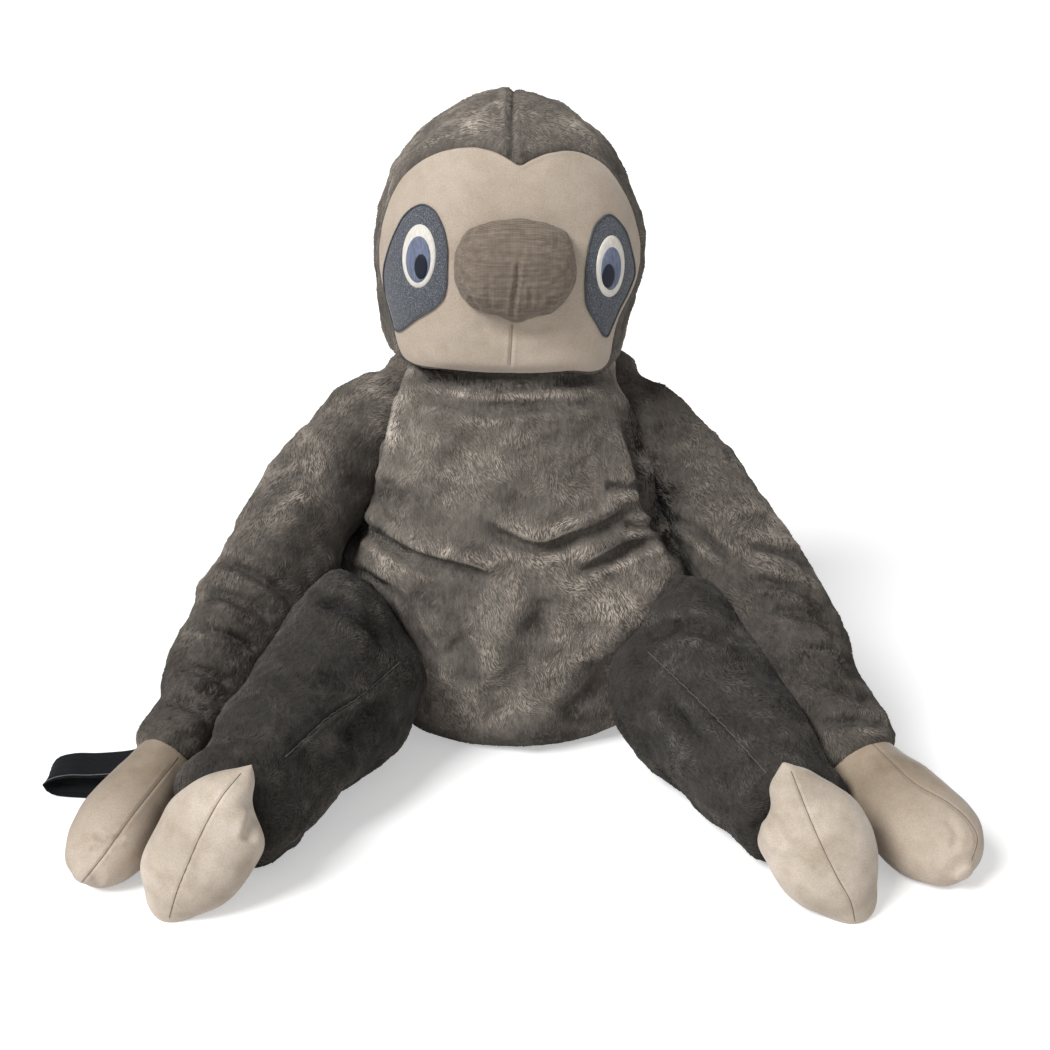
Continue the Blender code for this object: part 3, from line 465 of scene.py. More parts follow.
def woven(name, low, high, threads, depth, slub=0.35):
    """A plain weave: two sets of threads, uneven in thickness and colour."""
    n = Nodes(name, 0.9, sheen=0.12, specular=0.15)
    wobble = n.noise(180.0, 2.0, 0.5)
    across = n.wave(threads, "X", distortion=0.5, detail=1.0)
    down = n.wave(threads, "Z", distortion=0.5, detail=1.0)
    weave = n.maths("MULTIPLY", across, down)
    both = n.maths("ADD", n.maths("MULTIPLY", weave, 0.7), n.maths("MULTIPLY", wobble, slub))
    slubs = n.noise(230.0, 2.0, 0.6, n.mapped((0.08, 1.0, 1.6)))
    base = n.ramp(both, low, high, 0.0, 0.6)
    uneven = n.ramp(slubs, (0.72, 0.72, 0.72), (1.2, 1.2, 1.2), 0.3, 0.7)
    n.colour(n.mix(base, uneven, 1.0, "MULTIPLY"))
    n.rough(n.range(weave, 0.95, 0.82))
    n.bump(both, depth, 0.9)
    return n.material


def felt(name, low, high):
    n = Nodes(name, 0.9, sheen=0.2, specular=0.2)
    fibres = n.noise(800.0, 3.0, 0.75)
    # Painted glints: tiny bright specks added to the felt's colour, where it is also smoother
    painted_glints = n.noise(900.0, 2.0, 0.9)
    base = n.ramp(fibres, low, high, 0.38, 0.62)
    glint_colour = n.ramp(painted_glints, (0.0, 0.0, 0.0), (0.15, 0.16, 0.178), 0.5, 0.66)
    n.colour(n.mix(base, glint_colour, 1.0, "ADD"))
    n.rough(n.range(painted_glints, 0.95, 0.7))
    n.bump(fibres, 0.0006, 0.7)
    return n.material


def thread(name, low, high, sheen=0.04, rough=0.55):
    """Satin stitch: fine glossy strands laid side by side."""
    n = Nodes(name, rough, sheen=sheen, specular=0.2)
    strands = n.noise(900.0, 2.0, 0.6, n.mapped((1.0, 1.0, 0.1)))
    n.colour(n.ramp(strands, low, high, 0.3, 0.7))
    n.rough(n.range(strands, rough - 0.1, rough + 0.15))
    n.bump(strands, 0.0004, 0.8)
    return n.material


def webbing_cloth():
    n = Nodes("webbing_weave", 0.75, specular=0.12)
    ribs = n.wave(210.0, "Y", distortion=0.3)
    fine = n.noise(1400.0, 2.0, 0.6)
    both = n.maths("ADD", ribs, n.maths("MULTIPLY", fine, 0.5))
    n.colour(n.ramp(both, (0.0015, 0.0018, 0.0024), (0.006, 0.007, 0.009), 0.3, 1.1))
    n.rough(n.range(ribs, 0.8, 0.6))
    n.bump(both, 0.0005, 0.8)
    return n.material


# One backing cloth in three copies, the arm and leg copies darker: painted shade
BODY_SKIN = plush_skin("body_backing", (0.12, 0.106, 0.093), (0.16, 0.142, 0.125))
SHADED_ARM_SKIN = plush_skin("arm_backing", (0.075, 0.067, 0.059), (0.105, 0.093, 0.082))
SHADED_LEG_SKIN = plush_skin("leg_backing", (0.04, 0.037, 0.034), (0.055, 0.05, 0.046))
FACE_SUEDE = suede("face_suede_cloth", (0.44, 0.366, 0.295), (0.515, 0.432, 0.355), (0.93, 0.91, 0.88))
HAND_SUEDE = suede(
    "hand_suede_cloth", (0.235, 0.182, 0.128), (0.395, 0.315, 0.238), (0.9, 0.87, 0.84), (0.61, 0.52, 0.435)
)
FOOT_SUEDE = suede("foot_suede_cloth", (0.43, 0.36, 0.285), (0.69, 0.6, 0.51), (0.9, 0.87, 0.84))
LINEN = woven("nose_linen_cloth", (0.13, 0.102, 0.078), (0.27, 0.219, 0.175), 260.0, 0.0004)
FELT = felt("patch_felt_cloth", (0.045, 0.05, 0.06), (0.095, 0.1, 0.115))
WHITE_THREAD = thread("white_thread", (0.62, 0.58, 0.52), (0.8, 0.77, 0.7))
BLUE_THREAD = thread("blue_thread", (0.1, 0.12, 0.18), (0.19, 0.22, 0.31))
BLACK_THREAD = thread("dark_thread", (0.004, 0.006, 0.012), (0.012, 0.016, 0.028))
EDGE_THREAD = thread("grey_thread", (0.05, 0.053, 0.06), (0.1, 0.105, 0.115), rough=0.7)
GREY_THREAD = thread("grey_thread", (0.1, 0.1, 0.1), (0.2, 0.2, 0.2), rough=0.7)
LEG_THREAD = thread("leg_thread", (0.07, 0.065, 0.06), (0.2, 0.187, 0.172), rough=0.8)
SEAM_THREAD = thread("beige_thread", (0.16, 0.125, 0.095), (0.26, 0.21, 0.165), rough=0.8)
WEBBING = webbing_cloth()

# The part's own main sizes and forms
TORSO_HEIGHT = 0.35
BELLY_HALF_WIDTH = 0.166
BELLY_HALF_DEPTH = 0.134
TORSO_SET_FORWARD = 0.01
DOME_CENTRE = np.array((0.0, 0.0, 0.29))
COLLAR_RADIUS = 0.1262
BOWL_RADIUS = 0.1288
DOME_RADIUS = 0.1152
BOWL_REACH = 0.088
torso_shares = (
    (0.0, 0.64, 0.82), (0.023, 0.76, 0.92), (0.084, 0.87, 0.98), (0.186, 0.94, 1.0), (0.334, 0.995, 1.0),
    (0.483, 1.0, 0.98), (0.613, 0.94, 0.94), (0.743, 0.845, 0.89), (0.87, 0.755, 0.83),
    (0.96, 0.68, 0.77), (1.0, 0.63, 0.71),
)
HEAD_BOTTOM = 0.378
HEAD_HEIGHT = 0.245
HEAD_HALF_WIDTH = 0.1265
HEAD_HALF_DEPTH = 0.108
head_shares = (
    (0.0, 0.8, 0.86, 0.04), (0.035, 0.905, 0.97, 0.05), (0.13, 0.945, 1.0, 0.05),
    (0.26, 0.985, 1.01, 0.05), (0.4, 1.0, 1.0, 0.04), (0.53, 0.965, 0.98, 0.02), (0.65, 0.885, 0.94, 0.0),
    (0.76, 0.76, 0.86, -0.02), (0.855, 0.6, 0.73, -0.04), (0.93, 0.42, 0.53, -0.05),
    (0.98, 0.22, 0.3, -0.05), (1.0, 0.08, 0.11, -0.05),
)
NOSE_HEIGHT = 0.4785
NOSE_HALF_DEPTH = 0.034
NOSE_FRONT_Y = -0.146
SHOULDER = np.array((0.119, 0.014, 0.314))
WRIST = np.array((0.313, -0.262, 0.06))
ARM_BOW = np.array((0.017, 0.022, -0.004))
UPPER_ARM_RADIUS = 0.053
CUFF_RADIUS = 0.0425
arm_shares = (
    (-0.075, 0.7, 0.0), (0.0, 0.95, 0.0), (0.12, 0.97, 0.62), (0.26, 1.0, 0.98), (0.42, 1.03, 1.0),
    (0.58, 1.02, 0.84), (0.74, 0.95, 0.56), (0.89, 0.91, 0.28), (0.985, 0.9, 0.04),
)
HAND_TIP = np.array((0.368, -0.378, 0.0268))
HAND_RADIUS = 0.0375
hand_shares = (
    (-0.14, 0.62), (0.0, 0.86), (0.2, 0.97), (0.45, 1.04), (0.7, 1.03), (0.9, 0.86), (1.02, 0.58),
    (1.07, 0.25),
)
HIP = np.array((0.142, -0.123, 0.076743))
ANKLE = np.array((0.243, -0.342, 0.049015))
THIGH_RADIUS = 0.078
SHIN_RADIUS = 0.05
leg_shares = (
    (-0.15, 0.6), (0.0, 0.84), (0.14, 0.97), (0.34, 1.0), (0.58, 0.985), (0.82, 0.99), (0.985, 1.0),
)
LEG_FULLNESS = (
    (0.017, 0.008), (0.019, 0.009), (0.0155, 0.009), (0.0105, 0.008), (0.007, 0.006), (0.0035, 0.003),
    (0.001, 0.0),
)
HEEL = np.array((0.281, -0.394, 0.012))
TOE = np.array((0.217, -0.376, 0.131))
FOOT_HALF_WIDTH = 0.045
FOOT_HALF_DEPTH = 0.034
foot_shares = (
    (0.0, 0.6, 0.68), (0.1, 0.82, 0.9), (0.28, 1.0, 1.04), (0.47, 0.98, 0.96), (0.66, 0.76, 0.74),
    (0.83, 0.45, 0.47), (0.95, 0.19, 0.23), (1.0, 0.08, 0.1),
)


def mirrored(point, side):
    return point * np.array((side, 1.0, 1.0))


def head_tilt():
    middle = Vector((0.0, 0.0, HEAD_BOTTOM + HEAD_HEIGHT / 2))
    roll = Matrix.Rotation(math.radians(2.0), 4, "Y")
    yaw = Matrix.Rotation(math.radians(4.0), 4, "Z")
    return Matrix.Translation(middle + Vector((-0.004, 0.0, 0.0))) @ yaw @ roll @ Matrix.Translation(-middle)


HEAD_TILT = head_tilt()

# Stations of each form


def torso_form():
    stations = []

    def add(z, half_width, half_depth, y=-TORSO_SET_FORWARD, squareness=2.3):
        centre = np.array((0.0, y, z))
        stations.append(station(centre, X_AXIS, Y_AXIS, half_width, half_depth, squareness))

    _, seat_width, seat_depth = torso_shares[0]
    for share in (0.0, 0.5, 0.85):
        add(0.0, seat_width * BELLY_HALF_WIDTH * share, seat_depth * BELLY_HALF_DEPTH * share)
    for height, width, depth in torso_shares:
        add(height * TORSO_HEIGHT, width * BELLY_HALF_WIDTH, depth * BELLY_HALF_DEPTH)
    for polar in (52.0, 46.0, 40.0, 34.0):
        reach = COLLAR_RADIUS * math.sin(math.radians(polar))
        z = DOME_CENTRE[2] + COLLAR_RADIUS * math.cos(math.radians(polar))
        add(z, reach, reach * 0.97, -0.002, 2.0)
    for polar in (28.0, 14.0, 0.0):
        reach = DOME_RADIUS * math.sin(math.radians(polar))
        add(DOME_CENTRE[2] + DOME_RADIUS * math.cos(math.radians(polar)), reach, reach, 0.0, 2.0)
    return Form(stations, 360, 250)


def head_form():
    """The head before its tilt: a bowl underneath, a rounded rim, then up to the crown."""
    stations = []

    def add(z, half_width, half_depth, y):
        stations.append(station(np.array((0.0, y, z)), X_AXIS, Y_AXIS, half_width, half_depth, 2.35))

    for share in (0.0, 0.3, 0.6, 0.85):
        reach = BOWL_REACH * share
        z = DOME_CENTRE[2] + math.sqrt(BOWL_RADIUS**2 - reach**2)
        add(z, reach * 1.06, reach, -0.003)
    add(HEAD_BOTTOM + 0.0015, 0.77 * HEAD_HALF_WIDTH, 0.84 * HEAD_HALF_DEPTH, -0.0035)
    for height, width, depth, shift in head_shares:
        lift = 0.002 if height == 0.0 else 0.0
        z = HEAD_BOTTOM + height * HEAD_HEIGHT + lift
        grow = 1.03 if height == 0.0 else 1.0
        add(z, width * grow * HEAD_HALF_WIDTH, depth * grow * HEAD_HALF_DEPTH, -shift * HEAD_HALF_DEPTH)
    add(HEAD_BOTTOM + HEAD_HEIGHT + 0.0008, 0.0, 0.0, 0.05 * HEAD_HALF_DEPTH)
    form = Form(stations, 340, 230)
    x, y, z = form.points[..., 0], form.points[..., 1], form.points[..., 2]
    jaw = smoothstep(0.045, 0.088, np.abs(x)) * (1 - smoothstep(-0.02, 0.03, y))
    jaw *= 1 - smoothstep(0.385, 0.43, z)
    drop = jaw * np.where(x > 0, 0.0095, 0.005)
    crown = 0.005 * smoothstep(0.55, 0.61, z)
    narrow = np.where(x > 0, 0.006, 0.001) * (1 - smoothstep(0.39, 0.45, z))
    narrow *= smoothstep(0.05, 0.1, np.abs(x))
    form.points = form.points + np.stack([-np.sign(x) * narrow, 0 * y, -drop - crown], -1)
    form.normals = form.find_normals()
    return form


def limb_stations(centres, radii, closing):
    """Round stations along the centres, with a rounded cap at each end."""
    centres, radii = np.array(centres), np.array(radii, float)
    tangents = unit(np.gradient(centres, axis=0))
    found = []
    for centre, tangent, radius in zip(centres, tangents, radii):
        across = unit(np.cross(tangent, Z_AXIS))
        found.append(station(centre, across, np.cross(across, tangent), radius, radius, 2.0))
    start, end = found[0], found[-1]
    low, high = closing
    caps_low, caps_high = [], []
    for angle in (90.0, 72.0, 50.0, 26.0):
        shrink, reach = math.cos(math.radians(angle)), math.sin(math.radians(angle))
        for cap, row, tangent, size, way in (
            (caps_low, start, tangents[0], low, -1.0),
            (caps_high, end, tangents[-1], high, 1.0),
        ):
            made = row.copy()
            made[:3] += tangent * way * reach * size
            made[9:11] *= shrink
            cap.append(made)
    return caps_low + found + caps_high[::-1]


def arm_form(side):
    start, end, bow = (mirrored(p, side) for p in (SHOULDER, WRIST, ARM_BOW))
    centres = [start + (end - start) * along + bow * bowing for along, _, bowing in arm_shares]
    radii = []
    for along, radius, _ in arm_shares:
        reach = min(max(along, 0.0), 1.0)
        radii.append(radius * (UPPER_ARM_RADIUS + (CUFF_RADIUS - UPPER_ARM_RADIUS) * reach))
    return Form(limb_stations(centres, radii, (0.03, 0.012)), 190, 280)


def hand_form(side):
    start, end = mirrored(WRIST, side), mirrored(HAND_TIP, side)
    centres = [start + (end - start) * along for along, _ in hand_shares]
    radii = [HAND_RADIUS * radius for _, radius in hand_shares]
    return Form(limb_stations(centres, radii, (0.012, 0.004)), 190, 170)


def leg_form(side):
    """The thigh stands higher where it meets the body, squashed between the arm and the floor."""
    start, end = mirrored(HIP, side), mirrored(ANKLE, side)
    level = unit(np.cross(end - start, Z_AXIS)) * side
    if level[0] * side < 0:
        level = -level
    centres, radii, tall = [], [], []
    for (along, radius), (rise, out) in zip(leg_shares, LEG_FULLNESS):
        reach = min(max(along, 0.0), 1.0)
        radii.append(radius * (THIGH_RADIUS + (SHIN_RADIUS - THIGH_RADIUS) * reach) + out * 0.5)
        tall.append(radii[-1] - out * 0.5 + rise)
        centres.append(start + (end - start) * along + Z_AXIS * rise + level * out)
    stations = limb_stations(centres, radii, (0.035, 0.014))
    for made in stations:
        nearest = int(np.argmin([np.linalg.norm(made[:3] - c) for c in centres]))
        made[10] *= tall[nearest] / radii[nearest]
    return Form(stations, 230, 210)


def foot_frame(side):
    heel, toe = mirrored(HEEL, side), mirrored(TOE, side)
    along = unit(toe - heel)
    out = mirrored(ANKLE, side) - mirrored(HIP, side)
    out = unit(out - along * out.dot(along))
    return heel, toe, along, np.cross(along, out), out


def foot_form(side):
    heel, toe, along, across, out = foot_frame(side)
    found = []
    for place, width, depth in foot_shares:
        centre = heel + (toe - heel) * place
        found.append(station(centre, across, out, width * FOOT_HALF_WIDTH, depth * FOOT_HALF_DEPTH, 2.0))
    low, high = found[0].copy(), found[-1].copy()
    low[:3] -= along * 0.02
    high[:3] += along * 0.004
    low_mid = found[0].copy()
    low_mid[:3] -= along * 0.013
    low_mid[9:11] *= 0.66
    low[9:11] = 0.0
    high[9:11] = 0.0
    return Form([low, low_mid] + found + [high], 190, 170)


# Where cloth sits on a form: places given as (turn, row) on the form's grid


def at_places(form, turns, rows):
    """Points and normals at fractional places of a form's grid."""
    count, around, _ = form.points.shape
    r = np.clip(rows, 0, count - 1.001)
    i, fi = r.astype(int), (r % 1)[..., None]
    t = turns % around
    j, fj = t.astype(int) % around, (t % 1)[..., None]
    k = (j + 1) % around

    def sample(grid):
        low = grid[i, j] * (1 - fj) + grid[i, k] * fj
        high = grid[i + 1, j] * (1 - fj) + grid[i + 1, k] * fj
        return low * (1 - fi) + high * fi

    return sample(form.points), unit(sample(form.normals))


def polar_patch(name, border, centre, surface, rings, lift, under, material):
    """A closed thin cloth piece inside a border. surface() gives points and normals for places."""
    border = np.asarray(border, float)
    count = len(border)
    share = np.arange(1, rings + 1) / rings
    places = centre + share[:, None, None] * (border[None] - centre)
    top, normals = surface(places)
    heart, heart_normal = surface(np.asarray(centre, float)[None, None])
    upper = top + normals * lift(share)[:, None, None]
    lower = top - normals * under
    verts = np.concatenate([
        heart[0] + heart_normal[0] * lift(np.zeros(1))[0],
        upper.reshape(-1, 3),
        lower.reshape(-1, 3),
        heart[0] - heart_normal[0] * under,
    ])
    i = np.arange(count)
    j = (i + 1) % count
    base = 1 + np.arange(rings - 1)[:, None] * count
    quads = np.stack([base + i, base + count + i, base + count + j, base + j], -1).reshape(-1, 4)
    below = quads[:, ::-1] + rings * count
    rim_up, rim_low = 1 + (rings - 1) * count, 1 + (2 * rings - 1) * count
    rim = np.stack([rim_up + i, rim_low + i, rim_low + j, rim_up + j], -1)
    fan = np.stack([np.zeros_like(i), 1 + i, 1 + j], -1)
    last = len(verts) - 1
    low_fan = np.stack([np.full_like(i, last), 1 + rings * count + j, 1 + rings * count + i], -1)
    flat = np.concatenate([np.zeros((1, 2)), (share[:, None, None] * (border - centre)).reshape(-1, 2)])
    span = np.abs(flat).max() * 2
    flat = flat / span + 0.5
    uv_top = flat * 0.48
    uv_low = flat * 0.48 + (0.5, 0.0)
    uv_all = np.concatenate([uv_top, uv_low[1:], uv_low[:1]])
    groups = [quads, below, rim, fan, low_fan]
    uv = np.concatenate([uv_all[faces].reshape(-1, 2) for faces in groups])
    n = np.cross(verts[quads[:, 1]] - verts[quads[:, 0]], verts[quads[:, 3]] - verts[quads[:, 0]])
    flip = (n @ heart_normal[0, 0]).mean() < 0
    obj = make_mesh(name, verts, groups, uv, material, flip)
    return obj, upper, normals


def tree_of(form):
    """A ray target from a form's grid."""
    rows, around, _ = form.points.shape
    verts = form.points.reshape(-1, 3)
    i = np.arange(rows - 1)[:, None] * around
    j = np.arange(around)
    k = (j + 1) % around
    quads = np.stack([i + j, i + k, i + around + k, i + around + j], -1).reshape(-1, 4)
    return BVHTree.FromPolygons(verts.tolist(), quads.tolist())


def seen_surface(tree):
    """Finds where the rays through pixels meet a surface."""

    def surface(places):
        shape = places.shape[:-1]
        flat = places.reshape(-1, 2)
        points, normals = np.zeros((len(flat), 3)), np.zeros((len(flat), 3))
        for i, pixel in enumerate(flat):
            direction = ray_through(pixel)
            hit, normal, _, _ = tree.ray_cast(Vector(EYE), Vector(direction))
            points[i] = hit
            n = np.array(normal)
            normals[i] = n if n @ direction < 0 else -n
        return points.reshape(*shape, 3), normals.reshape(*shape, 3)

    return surface


def closed_curve(path, count):
    """Evenly spaced places along a smooth closed curve through the path's points."""
    path = np.asarray(path, float)
    ring = np.concatenate([path[-2:], path, path[:3]])
    places = np.concatenate([[0.0], np.cumsum(np.linalg.norm(np.diff(ring, axis=0), axis=1))])
    dense = spline(ring, places, np.linspace(places[2], places[-3], 2000))[:-1]
    run = np.concatenate([[0.0], np.cumsum(np.linalg.norm(np.diff(dense, axis=0), axis=1))])
    at = np.linspace(0, run[-1], count, endpoint=False)
    return np.stack([np.interp(at, run, dense[:, k]) for k in range(dense.shape[1])], -1)


def ellipse(x, y, half_width, half_height, tilt, count):
    angle = 2 * math.pi * np.arange(count) / count
    across, up = half_width * np.cos(angle), half_height * np.sin(angle)
    c, s = math.cos(math.radians(tilt)), math.sin(math.radians(tilt))
    return np.stack([x + across * c - up * s, y + across * s + up * c], -1)


def blend_limb(obj):
    """Bakes the object's transform into its mesh."""
    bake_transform(obj)


# Folds as the photograph shows them: path, half width in pixels, depth, and which bank is higher
TORSO_FOLDS = (
    (((352, 516), (378, 538), (422, 561), (467, 572), (498, 583)), 8, 0.007, -0.5),
    (((478, 524), (511, 541), (542, 549), (575, 538), (609, 525), (642, 502)), 8, 0.007, -0.5),
    (((575, 574), (605, 560), (640, 543), (668, 536)), 7, 0.005, -0.4),
    (((345, 564), (372, 584), (391, 612), (404, 642), (420, 678)), 7, 0.006, 0.4),
    (((369, 574), (402, 604), (416, 633), (443, 672)), 7, 0.004, 0.4),
    (((383, 400), (375, 438), (365, 476), (356, 511), (353, 537), (344, 559)), 10, 0.006, 0.0),
    (((621, 401), (631, 428), (643, 465), (650, 500), (664, 524), (678, 548), (688, 566)), 10, 0.006, 0.0),
    (((640, 482), (622, 488), (604, 486)), 6, 0.004, 0.0),
    (((668, 522), (648, 528), (622, 526)), 6, 0.005, 0.0),
    (((403, 380), (440, 377), (480, 384), (511, 387), (559, 382), (605, 380)), 6, 0.005, 0.3),
    (((392, 408), (431, 398), (489, 408), (540, 404), (580, 402), (615, 398)), 8, 0.003, 0.2),
    (((360, 500), (395, 492), (430, 500)), 12, 0.003, 0.0),
    (((448, 640), (468, 655), (470, 690)), 14, 0.003, 0.0),
    (((520, 640), (540, 618), (548, 596)), 13, 0.003, 0.0),
    (((560, 720), (590, 690), (606, 660)), 12, 0.003, 0.0),
)
ARM_FOLDS = {
    "left": (
        (((668, 520), (690, 528), (715, 545), (735, 565)), 7, 0.004, 0.3),
        (((745, 545), (770, 548), (795, 556), (815, 570)), 6, 0.004, -0.3),
        (((750, 580), (775, 583), (800, 590), (822, 604)), 6, 0.004, 0.3),
        (((768, 610), (795, 612), (820, 620), (838, 634)), 6, 0.003, 0.3),
        (((785, 645), (810, 648), (835, 655), (855, 668)), 6, 0.003, 0.2),
        (((805, 690), (830, 690), (855, 695), (875, 705)), 6, 0.003, 0.2),
        (((815, 725), (840, 722), (868, 722), (890, 728)), 6, 0.003, 0.2),
    ),
    "right": (
        (((216, 560), (240, 566), (265, 580), (290, 598), (300, 610)), 7, 0.005, 0.3),
        (((205, 590), (230, 596), (255, 608), (275, 622)), 7, 0.004, -0.3),
        (((195, 625), (215, 630), (240, 640), (262, 650)), 6, 0.004, 0.3),
        (((180, 665), (205, 672), (232, 684)), 6, 0.003, 0.2),
        (((165, 700), (190, 706), (212, 716)), 6, 0.003, 0.2),
    ),
}
LEG_SEAMS = {
    "left": ((648, 652), (693, 695), (723, 725), (767, 774)),
    "right": ((400, 662), (359, 697), (326, 719), (305, 739), (284, 758)),
}
LEG_FOLDS = {
    "left": (
        (LEG_SEAMS["left"], 2.6, 0.0015, 0.0),
        (((640, 640), (668, 628), (700, 630), (730, 645)), 9, 0.004, 0.0),
        (((655, 690), (680, 720), (710, 760)), 10, 0.003, 0.0),
    ),
    "right": (
        (LEG_SEAMS["right"], 2.6, 0.0015, 0.0),
        (((320, 600), (345, 606), (370, 622), (390, 645)), 9, 0.004, 0.0),
        (((395, 690), (370, 715), (340, 750)), 10, 0.003, 0.0),
    ),
}
HAND_SEAMS = {
    "left": ((864, 736), (886, 757), (914, 783), (951, 805), (966, 818), (977, 837), (971, 862)),
    "right": ((178, 757), (164, 775), (137, 809), (116, 838), (101, 859), (80, 884)),
}
FOOT_SEAMS = {
    "left": ((791, 771), (798, 789), (816, 833), (838, 879), (851, 903), (855, 922)),
    "right": ((241, 773), (221, 798), (202, 832), (187, 866), (177, 891), (169, 918)),
}
HAND_FOLDS = {
    "left": (
        (HAND_SEAMS["left"], 1.8, 0.0007, 0),
        (((945, 815), (957, 832), (952, 852)), 5, 0.0012, 0),
    ),
    "right": (
        (HAND_SEAMS["right"], 1.8, 0.0007, 0),
        (((126, 836), (106, 840), (92, 832)), 4, 0.0018, 0),
        (((112, 852), (98, 848), (88, 852)), 4, 0.0012, 0),
    ),
}
FOOT_FOLDS = {
    "left": (
        (FOOT_SEAMS["left"], 1.8, 0.0009, 0),
        (((772, 812), (778, 830), (786, 850)), 7, 0.003, 0.3),
    ),
    "right": (
        (FOOT_SEAMS["right"], 1.8, 0.0009, 0),
        (((258, 810), (253, 826), (246, 845)), 7, 0.003, 0.3),
    ),
}
FOOT_MOVES = {
    "left": (
        ((773, 753), 30, (0.01, 0.002, -0.01)), ((764, 806), 20, (0.006, 0.0, 0.0)),
        ((853, 915), 34, (0.002, -0.007, -0.002)), ((760, 838), 20, (-0.006, 0.0, 0.0)),
    ),
    "right": (
        ((251, 755), 30, (0.0, 0.002, -0.01)), ((264, 802), 20, (-0.0045, 0.0, 0.0)),
        ((176, 912), 34, (-0.006, -0.007, -0.002)), ((266, 846), 20, (0.005, 0.0, 0.0)),
        ((152, 868), 26, (-0.004, 0.0, -0.003)), ((158, 825), 24, (0.004, 0.0, 0.0)),
    ),
}
ARM_MOVES = {
    "left": (
        ((650, 372), 50, (-0.014, 0.0, -0.014)), ((705, 425), 45, (-0.009, 0.0, -0.008)),
        ((770, 500), 60, (-0.006, 0.0, -0.006)), ((700, 590), 40, (-0.006, -0.004, -0.004)),
    ),
    "right": (
        ((372, 365), 45, (0.005, 0.0, -0.006)), ((320, 580), 40, (0.006, -0.004, -0.004)),
        ((150, 715), 45, (0.012, 0.004, 0.0)),
    ),
}
HAND_MOVES = {
    "left": (((950, 835), 70, (0.014, 0.005, 0.0)),),
    "right": (((85, 850), 70, (0.012, 0.004, 0.0)), ((140, 765), 45, (0.007, 0.003, 0.0))),
}
LEG_MOVES = {
    "left": (((690, 590), 45, (0.006, -0.002, 0.008)), ((628, 622), 42, (0.019, 0.006, -0.008))),
    "right": (((332, 585), 45, (-0.004, -0.002, 0.012)), ((402, 612), 34, (-0.012, 0.004, -0.004))),
}

lumps = Waves(11, 0.05, 0.16, 30)
creases = Waves(12, 0.018, 0.05, 40)
fine_folds = Waves(13, 0.006, 0.016, 60)


def soften(form, big, middle, small):
    """Uneven stuffing and small wrinkles over a whole form."""
    p = form.points.reshape(-1, 3)
    push = lumps(p) * big + creases(p) * middle + fine_folds(p) * small
    return push.reshape(form.points.shape[:2])


# Torso
torso = torso_form()
torso.push(soften(torso, 0.003, 0.0007, 0.0001) * smoothstep(0.0, 0.03, torso.points[..., 2]))
shift_near(torso, (
    ((642, 372), 34, (-0.007, 0.0, -0.006)),
    ((684, 568), 34, (0.019, -0.012, 0.002)),
    ((640, 620), 46, (0.006, -0.022, 0.0)),
    ((344, 562), 34, (-0.009, -0.004, 0.002)),
    ((660, 528), 20, (0.012, -0.004, 0.0)),
    ((392, 610), 40, (0.0, -0.010, 0.0)),
    ((560, 610), 70, (0.0, -0.007, 0.0)),
))
torso.crease(TORSO_FOLDS, 1.25, 1 - smoothstep(0.345, 0.366, torso.points[..., 2]))
away = np.linalg.norm(torso.points - DOME_CENTRE, axis=-1)
too_far = (torso.points[..., 2] > 0.372) & (away > COLLAR_RADIUS)
back_to = DOME_CENTRE + (torso.points - DOME_CENTRE) * (COLLAR_RADIUS / away)[..., None]
torso.points = np.where(too_far[..., None], back_to, torso.points)
torso.push(np.full(torso.points.shape[:2], -0.0008))
torso.rest_on_floor()
torso_cover = torso.mesh("torso_cover", BODY_SKIN)
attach(torso_cover, "torso")
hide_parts("torso_front_panel", "torso_back_panel", "torso_filling", "seat_pellet_bag")

# Neck pad
pad_rows = []
for reach in (0.0, 14.0, 22.0, 25.4):
    angle = math.radians(reach)
    centre = DOME_CENTRE + Z_AXIS * 0.1282 * math.cos(angle)
    pad_rows.append(station(centre, X_AXIS, Y_AXIS, 0.1282 * math.sin(angle), 0.1282 * math.sin(angle), 2.0))
for reach in (27.6, 27.6, 25.0, 12.0, 0.0):
    angle = math.radians(reach)
    radius = 0.122 if len(pad_rows) == 4 else 0.1162
    centre = DOME_CENTRE + Z_AXIS * radius * math.cos(angle)
    pad_rows.append(station(centre, X_AXIS, Y_AXIS, radius * math.sin(angle), radius * math.sin(angle), 2.0))
neck_pad = Form(pad_rows, 96, 60).mesh("neck_pad", FELT)
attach(neck_pad, "neck")
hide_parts("neck_filling")

# Head: the hood, and the face let into it
hood = head_form()
face_base = head_form()
FACE_OUTLINE = (
    (520, 165), (527, 160), (537, 155), (553, 150), (574, 149), (592, 155), (606, 165), (619, 182),
    (630, 203), (637, 226), (640, 250), (638, 272), (631, 293), (622, 311), (615, 330), (612, 345),
    (609, 359), (600, 364), (585, 366), (560, 368), (535, 370), (511, 371), (485, 370), (461, 368),
    (437, 364), (416, 360), (404, 357), (397, 345), (393, 325), (387, 302), (382, 282), (379, 256),
    (381, 232), (386, 210), (394, 190), (404, 174), (420, 160), (440, 150), (457, 146), (474, 145),
    (490, 148), (503, 154), (513, 160),
)


def near_places(form, outline):
    """The places of a form's grid, facing the camera, that show nearest to an outline's pixels."""
    at = pixels(form.points).reshape(-1, 2)
    facing = ((EYE - form.points) * form.normals).sum(-1).ravel() > 0
    index = np.nonzero(facing)[0]
    at = at[index]
    around = form.points.shape[1]
    found = []
    for pixel in outline:
        best = index[((at - pixel) ** 2).sum(-1).argmin()]
        found.append((best % around, best // around))
    return np.array(found, float)


def smooth_ring(ring, passes):
    for _ in range(passes):
        ring = (np.roll(ring, 1, 0) + ring * 2 + np.roll(ring, -1, 0)) / 4
    return ring


